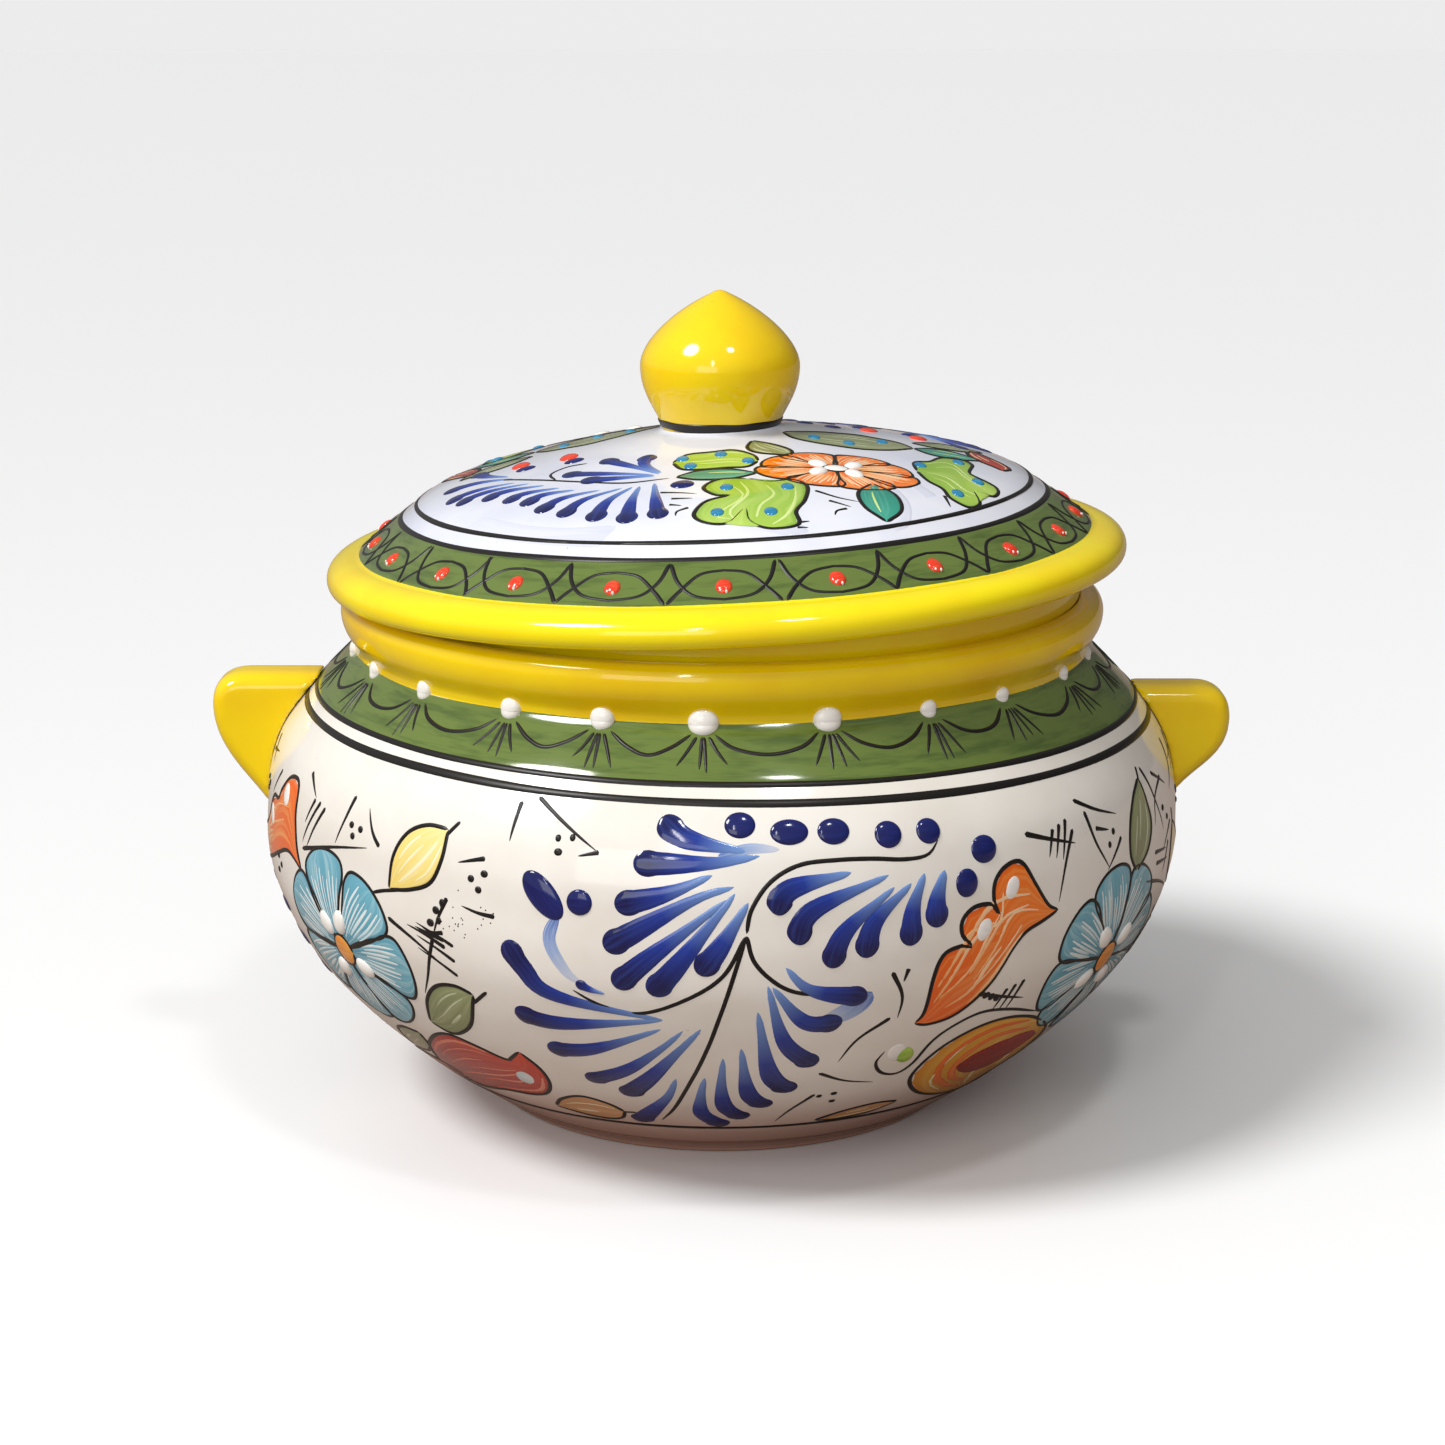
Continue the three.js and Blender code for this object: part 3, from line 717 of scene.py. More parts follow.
beadTurns = [-79, -63.7, -48.3, -31, -16.7, -2.5, 14.8, 30.4, 44.5, 61.7, 76]
beadTurns += [76 + 205 / 13 * i for i in range(1, 13)]
beadSizes = [3.0, 3.0, 3.2, 3.6, 3.8, 4.6, 4.4, 2.9, 2.8, 2.7, 2.7]
for i, (here, there) in enumerate(zip(beadTurns, beadTurns[1:] + [beadTurns[0] + 360])):
    size = beadSizes[i] if i < len(beadSizes) else handChance.uniform(2.8, 4.2)
    bead(potWall, "potBeads", (here, 70.4), size, size * handChance.uniform(0.92, 1.04), 0.6 * size)
    middle, sag = (here + there) / 2, handChance.uniform(58.8, 60.4)
    line(potWall, "potFestoons", [(here + 1.5, 66.5), (here + 4.2, 61.6), (middle, sag), (there - 4.2, 61.6),
                                  (there - 1.5, 66.5)], 0.66, base=0.13, rows=34)
    for lean, foot in ((-2.9, 55.5), (-0.6, 53.6), (0.8, 53.4), (3.0, 55.0)):
        lean, foot = lean + handChance.uniform(-0.4, 0.4), foot + handChance.uniform(-1.2, 1.2)
        line(potWall, "potFestoons",
             [(here + lean * 0.25, 65.6), (here + lean * 0.6, 60.5), (here + lean, foot)], 0.62, base=0.13,
             taper=(0.15, 0.4), whip=0.3)

featherStrokes = [                                 # head, bends, tail: degrees round and millimetres up
    [(-7, 39), (-4, 33), (3, 29)], [(-9.8, 25.4), (-0.8, 26), (4.5, 28)],
    [(-11.7, 12.8), (-6, 17), (-0.8, 22.7)], [(-12.9, 0), (-3.3, 15), (1.7, 19.4)],
    [(-11.9, -12), (-7.5, -1.5), (0.8, 16)], [(-7.9, -14), (-5, -5), (1.7, 18)],
    [(-2.5, -7), (0, 2), (3, 15)], [(-24.6, -1), (-22.5, -9), (-19.2, -17), (-6.2, -23.5)],
    [(-24.8, -25.5), (-19.2, -28), (-6.2, -23.3)], [(-22, -41), (-16, -38.5), (-6.7, -26.8)],
    [(-18.3, -57), (-12.5, -48.8), (-7.5, -36.7), (-4.2, -26.8)],
    [(-13.7, -65.3), (-9.6, -53), (-5.4, -37.8), (-2.1, -25.7)],
    [(-14, -88), (-10.8, -77), (-7.5, -64), (-5.8, -51)],
    [(0.5, -89), (-2.9, -78), (-2.9, -64), (-2.1, -50)], [(3.7, -82), (0.8, -73), (0, -60), (0.2, -39)],
    [(6.7, -72), (3.7, -61), (2.3, -34.5)], [(9.6, -61), (6.2, -49), (4, -19)],
    [(11.7, -45.5), (7.5, -33), (5, -10)], [(14, -25.5), (9.6, -24.6), (5.5, -11)],
    [(16.5, -17), (10, -13), (6.9, -4.8)], [(5.8, 11), (7.5, 18), (14.6, 22)],
    [(8.1, 1.8), (10, 11.7), (19, 20.5)], [(11.9, -6), (13.7, 5), (19.5, 17)],
    [(15.8, -3.7), (17, 7), (21.5, 17.5)], [(21.2, -1.5), (21.5, 10), (23.1, 20)],
    [(24.6, 3), (24.4, 11), (25.6, 20)],
]
featherStems = [
    [(2.7, 5), (0, -20), (-1.7, -35.6), (-3.7, -51), (-7, -73), (-10, -86)],
    [(2.7, 5), (0, -8), (-5, -17), (-9.6, -21.3), (-13.7, -19), (-17, -14)],
    [(2.7, 5), (3.3, 12.8), (5.4, 20.5), (8.7, 25), (12.9, 25.8), (17, 25.4), (20.8, 24.3), (23.7, 24.9),
     (25.4, 29.3)], [(2.7, 5), (3.7, -3.7), (6.7, -11.4), (10, -14.2), (13.3, -12.5)],
]
featherDots = [((2.1, 37), 4.5, 4.0), ((7.7, 34.6), 5.6, 3.9), ((12.8, 34.2), 4.8, 4.0),
               ((19.2, 32), 4.2, 4.1), ((24.2, 31.7), 3.9, 3.9), ((31, 24), 4.5, 4.2),
               ((28.3, 15), 3.8, 4.3), ((-15.7, 13), 3.9, 3.9)]

featherSmears = [([(17, -15), (15, -20.5), (11, -26)], 3.4),
                 ([(-18.2, 9), (-19.2, 1), (-17.5, -8), (-15.6, -12)], 2.0),
                 ([(-0.5, 27.6), (3, 30), (6.5, 29.6)], 1.6)]


def feather(skin):
    for path in featherStrokes:
        comma(skin, "potCobalt", path, handChance.uniform(3.9, 4.3), neck=0.9)
    comma(skin, "potCobalt", [(-16.3, -11.5), (-14.8, -13.6), (-13, -14.8)], 1.8)
    for place, across, up in featherDots:
        bead(skin, "potDots", place, across, up, 1.0, rows=12)
    bead(skin, "potDots", (-20, 14), 8.6, 4.4, 1.1, turn=-48, rows=12)
    for path in featherStems:
        line(skin, "potStems", path, 0.8, rows=50, taper=(0.06, 0.25))
    for path, width in featherSmears:              # where a wet sleeve dragged the blue
        brushMark(skin, "potSmear", path, width, lift=0.05, base=0.01, rows=18, taper=(0.3, 0.6))


def outline(skin, colour, edge, width=0.75):
    line(skin, colour, edge, width, base=0.0, rows=8 + 5 * len(edge), taper=(0.06, 0.06))


petalShape = ((0.0, 0.1), (0.25, 0.36), (0.5, 0.68), (0.7, 0.96), (0.86, 0.94), (0.965, 0.54), (1.0, 0.02))


def petal(skin, names, centre, direction, reach, width, start=3.0, rays=9, flat=1.0):
    c, s = math.cos(math.radians(direction)), math.sin(math.radians(direction))
    fill, ray, edge = names
    left, right = [], []
    for share, wide in petalShape:
        d, w = start + (reach - start) * share, width * wide
        left.append(nearby(skin, centre, d * c - w * s, (d * s + w * c) * flat))
        right.append(nearby(skin, centre, d * c + w * s, (d * s - w * c) * flat))
    fillBetween(skin, fill, left, right)
    for i in range(rays):
        lean, path = (i - (rays - 1) / 2 + handChance.uniform(-0.2, 0.2)) / rays, []
        near = start + reach * handChance.uniform(0.04, 0.3)
        far = start + (reach - start) * handChance.uniform(0.72, 0.95)
        for d in (near, (near + far) / 2, far):
            w = lean * width * 1.7 * np.interp(d / reach, (0, 0.5, 0.75, 1), (0.12, 0.66, 0.94, 0.8))
            path.append(nearby(skin, centre, d * c - w * s, (d * s + w * c) * flat))
        brushMark(skin, ray, path, handChance.uniform(0.35, 0.85), lift=0.1, base=0.1, rows=8,
                  taper=(0.5, 0.5))
    outline(skin, edge, left + right[-2::-1], 0.62)


def flower(skin, names, centre, reach, petals, firstTurn, width, heart, flat=1.0):
    for i in range(petals):
        direction = firstTurn + 360 * i / petals + handChance.uniform(-4, 4)
        petal(skin, names, centre, direction, reach * handChance.uniform(0.92, 1.05), width, flat=flat)
    bead(skin, heart, centre, 0.15 * reach, 0.17 * reach * flat, 0.6, base=0.25)
    ring = [nearby(skin, centre, 0.155 * reach * math.cos(x), 0.175 * reach * math.sin(x) * flat)
            for x in np.linspace(0, 6.28, 10)]
    line(skin, names[2], ring, 0.5, base=0.15, rows=30, taper=(0.02, 0.02))
    pale = names[0][:3] + "Beads"
    for i in range(0, petals, 2):                  # a white dot between every second pair of petals
        turn, size = firstTurn + 360 * (i + 0.5) / petals, 0.1 * reach
        x, y = math.cos(math.radians(turn)), math.sin(math.radians(turn))
        bead(skin, pale, nearby(skin, centre, reach * 0.31 * x, reach * 0.33 * y * flat), size * 1.35, size,
             1.2, turn=turn, base=0.15)


def leaf(skin, names, left, right, rays=4, stem=None):
    fill, ray, edge = names
    fillBetween(skin, fill, left, right)
    for i in range(rays):                          # loose hairs of a paler colour, never two alike
        first, last = handChance.uniform(0.08, 0.4), handChance.uniform(0.6, 0.92)
        t = np.linspace(first, last, 4)
        leftLine, rightLine = softPath(left, t, skin.grain), softPath(right, t, skin.grain)
        path = rightLine + (leftLine - rightLine) * (i + handChance.uniform(0.5, 1.1)) / (rays + 0.6)
        brushMark(skin, ray, path, handChance.uniform(0.4, 0.9), lift=0.1, base=0.1, rows=12,
                  taper=(0.6, 0.5))
    outline(skin, edge, left)
    outline(skin, edge, right)
    if stem:
        line(skin, edge, stem, 0.75)


skyNames = ("potSky", "potRays", "potOutlines")
orangeNames = ("potOrange", "potOrangeRays", "potOutlines")
yellowNames = ("potYellow", "potCreamRays", "potOutlines")
oliveNames = ("potOlive", "potOliveRays", "potOutlines")
redNames = ("potRed", "potBlushRays", "potOutlines")
peachNames = ("potPeach", "potCreamRays", "potOutlines")


def dots(skin, places, size=1.15):
    for place in places:
        bead(skin, "potTickDots", place, size * handChance.uniform(0.8, 1.2), size, 0.4, rows=6)


def rightSpray(skin):
    leaf(skin, oliveNames, [(58.3, 2.3), (56.6, 9), (56.9, 17), (59, 25), (62, 30)],
         [(58.3, 2.3), (61.8, 7), (63.3, 15), (62.8, 22), (62, 30)], rays=3, stem=[(62, 29), (62.8, 33.5)])
    leaf(skin, orangeNames,
         [(23.3, -30), (24.2, -25.7), (24.4, -13.6), (25.4, -6), (27.5, -4), (29.0, -4.6), (27.7, -0.4),
          (27.7, 4), (29.2, 7.3), (31.5, 7.2), (32.6, 3.8), (31.9, 8.4), (32.1, 13.9), (33.7, 17.7),
          (36, 18), (37.9, 10.6), (40, 2.9), (41.7, 0.7)],
         [(23.3, -30), (25.4, -31.2), (28.3, -29.6), (30.8, -24.6), (32.5, -19), (33.7, -13.6), (35, -8),
          (36.7, -3.7), (39.2, -1.5), (41.7, 0.7)], rays=9)
    for place, size in (((34.5, 11), 2.5), ((30.6, 0), 2.5)):
        bead(skin, "potBeads", place, size, size * 1.5, 0.3, turn=-25, base=0.1)
    flower(skin, skyNames, (54.6, -24.6), 32.5, 8, 12, 10.6, "potHearts")
    leaf(skin, ("potOchre", "potCreamRays", "potOutlines"),
         [(49, -91), (41, -87), (35, -81), (30.5, -73), (27.6, -63), (27.6, -53), (29.6, -44), (33.5, -38),
          (38, -37), (43, -40.5), (48, -47)],
         [(49, -91), (52, -84), (54, -76), (54.5, -66), (52.5, -56), (48, -47)], rays=3)
    for path in ([(45, -43.5), (38, -41), (33.5, -45), (31.5, -54), (33, -66), (38, -77), (45, -85)],
                 [(46, -48), (39, -46), (35.6, -51), (34.6, -60), (37, -70), (43, -79)]):
        brushMark(skin, "potPodStripes", path, 1.5, lift=0.14, base=0.1, rows=26, taper=(0.4, 0.4))
    fillBetween(skin, "potWine", [(35, -61), (37, -54), (42, -50.5), (47, -51), (50.5, -57)],
                [(35, -61), (37.5, -67), (41.5, -71), (46.5, -69), (50.5, -57)], base=0.14)
    line(skin, "potTicks", [(20.8, -41), (20.1, -47.7), (21.7, -54.3), (24.2, -56.5), (25.8, -52), (27, -41),
                            (29.2, -34.5), (32.9, -30.7), (37.9, -32.9), (44.2, -39)], 0.8, rows=56)
    bead(skin, "potBeads", (22.6, -43.5), 3.2, 4.6, 0.4, turn=20)
    bead(skin, "potLime", (23.9, -45.5), 2.9, 4.2, 0.8, turn=20)
    leaf(skin, peachNames, [(15.8, -88), (20, -82), (25, -79), (29.6, -81)],
         [(15.8, -88), (20, -89), (26, -87), (29.6, -81)], rays=2)
    for path in ([(20, -25.7), (16.4, -34), (14.6, -45.5)], [(19.2, -9), (20.8, -18), (20.8, -27)],
                 [(12.5, -50), (16.7, -56.5), (21.7, -60.4)], [(13.3, -64), (10.5, -76), (8.7, -87)],
                 [(45, 24), (43, 14), (41.7, 2)], [(47.6, 28), (49, 17), (51.7, 7)],
                 [(46.2, 32), (50, 27), (54.4, 23)], [(49.2, 21.5), (50.5, 20.5), (52, 19.5)],
                 [(54.5, 16), (53, 12), (51, 7)], [(21.2, -8.6), (20.7, -13)],
                 [(63.6, 33), (66, 20), (68.5, 8)], [(66.5, 29), (72, 21.5)],
                 [(70, 26), (66, 21), (64.6, 12)], [(64.4, 4), (70, 2)], [(65, 0), (71, -2)],
                 [(61, -3), (68, -8), (76, -16)]):
        tick(skin, "potTicks", path)
    for at, lean in ((37, 26), (31, -22)):         # crossed practice ticks, the painter's fillers
        tick(skin, "potTicks", [(at, lean), (at + 4, lean - 3.5), (at + 8.4, lean - 7)], 1.1)
        for i in range(3):
            tick(skin, "potTicks", [(at + 4.6 + i * 1.2, lean - 0.5 + i), (at + 3.4 + i * 1.1, lean - 9 - i)])
    for i in range(4):
        bead(skin, "potTickDots", (31.6 + i * 0.9, -22.4 - i * 1.1), 1.5, 1.2, 0.4, rows=6, turn=40 * i)
    dots(skin, ((14, -66), (16.1, -65), (16.5, -71), (51.7, 15), (52.8, 18.5), (68.5, 16), (70.2, 12)))


def leftSpray(skin):
    leaf(skin, orangeNames,
         [(-59.8, 1), (-61.5, 8), (-62.2, 16), (-63.3, 27), (-66.5, 27.5), (-69, 22), (-70, 18), (-73, 17),
          (-76, 8), (-80, 3), (-85, 0), (-90, -6), (-95, -9.5), (-99, -9)],
         [(-59.8, 1), (-62, 3.5), (-65, 4.5), (-69, 1), (-73, -3), (-78, -7), (-85, -11), (-92, -12.5),
          (-99, -9)], rays=6)
    for place, size in (((-66.6, 21.5), 2.9), ((-73, 11), 2.8)):
        bead(skin, "potBeads", place, size, size * 1.3, 0.35, turn=20, base=0.1)
    leaf(skin, redNames, [(-46.5, -80), (-50, -74), (-56, -74), (-62, -78), (-69, -86)],
         [(-46.5, -80), (-50, -87), (-57, -90), (-63, -90), (-69, -86)], rays=4)
    leaf(skin, oliveNames, [(-45.4, -51), (-46.6, -60), (-50.5, -67), (-55, -69)],
         [(-45.4, -51), (-49.5, -52), (-53.5, -58), (-55, -69)], rays=2)
    flower(skin, skyNames, (-51.7, -19.6), 31.5, 7, 104, 11.6, "potHearts")
    leaf(skin, yellowNames, [(-41, 7.3), (-40.4, 18), (-38.7, 25.5), (-36, 29), (-32.9, 29)],
         [(-41, 7.3), (-37.5, 9), (-34.6, 12.5), (-33.2, 20), (-32.9, 29)], rays=4,
         stem=[(-33.1, 27), (-31.5, 32)])
    line(skin, "potOutlines", [(-44, 4.5), (-42, 6.2), (-39, 8)], 0.7)
    leaf(skin, oliveNames, [(-39.8, -40), (-38, -29), (-35.5, -22), (-32.5, -20), (-30, -22)],
         [(-39.8, -40), (-37, -43.5), (-34.5, -41), (-32, -34.5), (-30, -22)], rays=3,
         stem=[(-30.6, -26), (-27.9, -19.7)])
    leaf(skin, redNames,
         [(-51, -76), (-47.5, -63), (-45, -56), (-40.8, -47.7), (-37.5, -45), (-33.7, -47.7),
          (-29.9, -52.2), (-28.5, -50), (-26.7, -45.5)],
         [(-51, -76), (-47, -86), (-42, -84), (-37, -80), (-31, -77.5), (-27.5, -73), (-25.2, -64),
          (-25, -54), (-26.7, -45.5)], rays=7)
    bead(skin, "potRays", (-29, -63), 3.4, 5.2, 0.2, turn=-20, base=0.1)
    leaf(skin, peachNames, [(-28.3, -84), (-25.5, -76), (-21.2, -70.6), (-17.5, -74), (-15.5, -80)],
         [(-28.3, -84), (-23, -88), (-19, -88.5), (-16.7, -86), (-15.5, -80)], rays=2,
         stem=[(-16.2, -80.5), (-13.5, -79.6)])
    for path in ([(-22.3, 43), (-18, 35), (-13.7, 27.6)], [(-13.7, 27.9), (-16.2, 26.3)],
                 [(-24.2, 41), (-24.6, 28)], [(-27.3, 22.5), (-29, 21.4), (-31, 20)],
                 [(-25.8, 5.6), (-28, 6), (-30.4, 7.4)], [(-49, 32), (-50, 24), (-51.5, 15)],
                 [(-42.9, 19), (-44.5, 23), (-46, 30)], [(-60.8, 33), (-57.4, 26)],
                 [(-57.5, 26), (-59.3, 17)], [(-56, 26), (-59.3, 13), (-59.8, 10)],
                 [(-54.6, 25), (-58.8, 9)], [(-60, 8.5), (-52, 14), (-44.5, 18)],
                 [(-41.4, -1.5), (-37, -7), (-33, -13.5)], [(-71, 27), (-74, 17)],
                 [(-32.2, 9), (-33.5, 2), (-34.3, -4)], [(-34.3, -4), (-36, -17), (-38, -27)]):
        tick(skin, "potTicks", path)
    for i in range(3):
        tick(skin, "potTicks",
             [(-32.6 - i * 0.1, -7 + i * 2.4), (-35.4 + i * 0.5, -4 + i * 0.6), (-38.4 + i * 1.3, -2)])
        tick(skin, "potTicks", [(-31.4, -16 + i * 5), (-34, -12 + i * 4.4), (-37, -8.6 + i * 4)], 0.8)
    dots(skin, ((-32.9, 7), (-33.8, 4.4), (-33.4, 1.4), (-34.6, 0.2)), 1.3)
    dots(skin,
         ((-18.7, 31), (-17, 31.5), (-18.5, 27), (-29, 16), (-27.3, 18), (-28, 13), (-48.5, 23),
          (-46.7, 22.5), (-48, 19.8), (-69, 0), (-67.8, -2.4), (-69.4, -5)))
    for i in range(26):                            # fine spatter off the brush
        spot = (handChance.gauss(-30.5, 2.6), handChance.gauss(3, 3.4))
        bead(skin, "potTickDots", spot, 0.28, 0.3, 0.06, base=0.02, rows=6)


def underEar(skin):                                # small filling work below each ear
    flower(skin, skyNames, (0, -57), 25, 7, 12, 9.2, "potHearts")
    leaf(skin, orangeNames, [(-9, -86), (-5, -81), (0, -80.5), (6, -82), (10, -87)],
         [(-9, -86), (-4, -90), (2, -90.5), (10, -87)], rays=3)
    leaf(skin, yellowNames, [(-8, -19), (-14, -15), (-18, -5), (-17, 8)],
         [(-8, -19), (-9, -9), (-12, 1), (-17, 8)], stem=[(-16.8, 6), (-17.8, 13)])
    leaf(skin, oliveNames, [(-13, -43), (-19.5, -39), (-23, -31), (-21, -22)],
         [(-13, -43), (-14, -34), (-17, -27), (-21, -22)], rays=3, stem=[(-20.6, -24), (-21.4, -17.5)])
    for path in ([(18, -19), (12, -22), (5, -31)], [(20.5, -30.5), (14, -30.5), (6.5, -35)],
                 [(20.5, -44), (15, -40.5), (9.5, -39.5)], [(10, -13.5), (7.5, -19), (3.5, -29)]):
        comma(skin, "potCobalt", path, 3.4, neck=0.8)
    for place in ((2, -13), (-3.5, -17)):
        bead(skin, "potDots", place, 3.4, 3.6, 0.9)
    line(skin, "potStems", [(3.8, -29.5), (0, -33), (-5, -33.5), (-10, -38), (-13, -43)], 0.7, rows=34,
         taper=(0.2, 0.2))
    for path in ([(-7.5, 33), (-12, 21)], [(-7, 27), (-13.5, 26)], [(-13, 34), (-14.5, 24), (-17.5, 18)],
                 [(7.5, 33), (10.5, 24)], [(6.8, 27), (12.5, 29.5)], [(-20, 4), (-22.5, -6)],
                 [(-18.8, 10), (-23, 1.5)], [(12, -49), (17, -53)], [(-12, -52), (-17, -56.5)],
                 [(-11, -56), (-15.4, -60)]):
        tick(skin, "potTicks", path)
    dots(skin,
         ((-10, 14), (-8.4, 12), (-10.6, 10.4), (9.6, 19), (11.2, 18), (10, 15.6), (14, -57), (15.6, -60)))


for turn in (0, 180):
    skin = turned(potWall, turn)
    feather(skin)
    rightSpray(skin)
    leftSpray(skin)
for turn in (-89, 91):
    underEar(turned(potWall, turn))
print("pot painted")


lidRings = {"innerLine": 25.1, "outerLine": 18.2}   # up the slope from the foot of the band
band(lidBand, "lidGreen", lambda lean: 0.2 + 0 * lean, lambda lean: lidRings["outerLine"] + 0 * lean,
     wander=0.2, seed=0.7)
ringLine(lidBand, "lidLines", lambda lean: lidRings["outerLine"] + 0 * lean, 1.15, 1.7)
ringLine(lidBand, "lidLines", lambda lean: lidRings["innerLine"] + 0 * lean, 0.95, 2.9)

cells = 22
for i in range(cells):
    middle = i * 360 / cells + handChance.uniform(-0.6, 0.6)
    low, cap = handChance.uniform(1.6, 2.6), handChance.uniform(12.2, 13.8)
    for way in (-1, 1):                            # each half of an arc starts thick, at its cusp
        cusp, near = middle + way * 180 / cells, middle + way * (180 / cells - 1.4)
        line(lidBand, "lidScallops",
             [(cusp, 16.8), (near, 9.4), (middle + way * 4.2, low + 1.6), (middle, low),
              (middle - way * 0.5, low)], 0.72, base=0.13, rows=26, taper=(0.1, 0.02), whip=0.35)
        line(lidBand, "lidScallops",
             [(cusp, 0.6), (near - way * 0.4, 6), (middle + way * 3.6, cap - 1.4), (middle, cap),
              (middle - way * 0.5, cap)], 0.72, base=0.13, rows=26, taper=(0.1, 0.02), whip=0.35)
    bead(lidBand, "lidRedDots", (middle, 7.4), 2.5, 2.9, 1.1, base=0.1)
    # two small white specks on each red dot: painted highlights
    for dx, dy in ((-1.0, -1.7), (0.7, -2.2)):
        bead(lidBand, "lidBeads", nearby(lidBand, (middle, 7.4), dx, dy), 0.5, 0.6, 1.0, base=0.1, rows=6)

lidStrokes = [
    [(-19, -87.5), (-20, -75), (-20.6, -60)], [(-29, -87.5), (-27.5, -74), (-25, -61)],
    [(-39, -83), (-35, -71), (-27, -61)], [(-49, -76), (-43, -67), (-30, -61)],
    [(-56.5, -69), (-50, -62), (-37, -60)], [(-61.5, -60.6), (-56, -55), (-45, -56)],
    [(-67.7, -53.7), (-62, -49.5), (-50, -51)], [(-75, -45.6), (-69, -42), (-55, -45)],
    [(-83.7, -40.6), (-77, -36.5), (-60, -39)], [(-87.5, -34.4), (-81, -30.5), (-65, -34)],
    [(-44, -48), (-34, -51), (-20, -54)], [(-50, -37.5), (-38, -44), (-20, -53.5)],
    [(-37.5, -29), (-31, -38), (-18.7, -53)], [(-22.5, -32), (-24, -42), (-18.5, -52)],
    [(-90, -18), (-80, -20), (-66, -28)], [(-80, -4), (-76, -14), (-68, -24)],
]
limeNames = ("lidLime", "lidLimeRays", "lidOutlines")
tealNames = ("lidTeal", "lidLimeRays", "lidOutlines")
mossNames = ("lidOlive", "lidOliveRays", "lidOutlines")


def lobedLeaf(skin, left, right, dots, rays=3, names=limeNames):
    leaf(skin, names, left, right, rays=rays)
    for place in dots:
        bead(skin, "lidAqua", place, 2.1, 2.7, 0.7, base=0.15, rows=8)


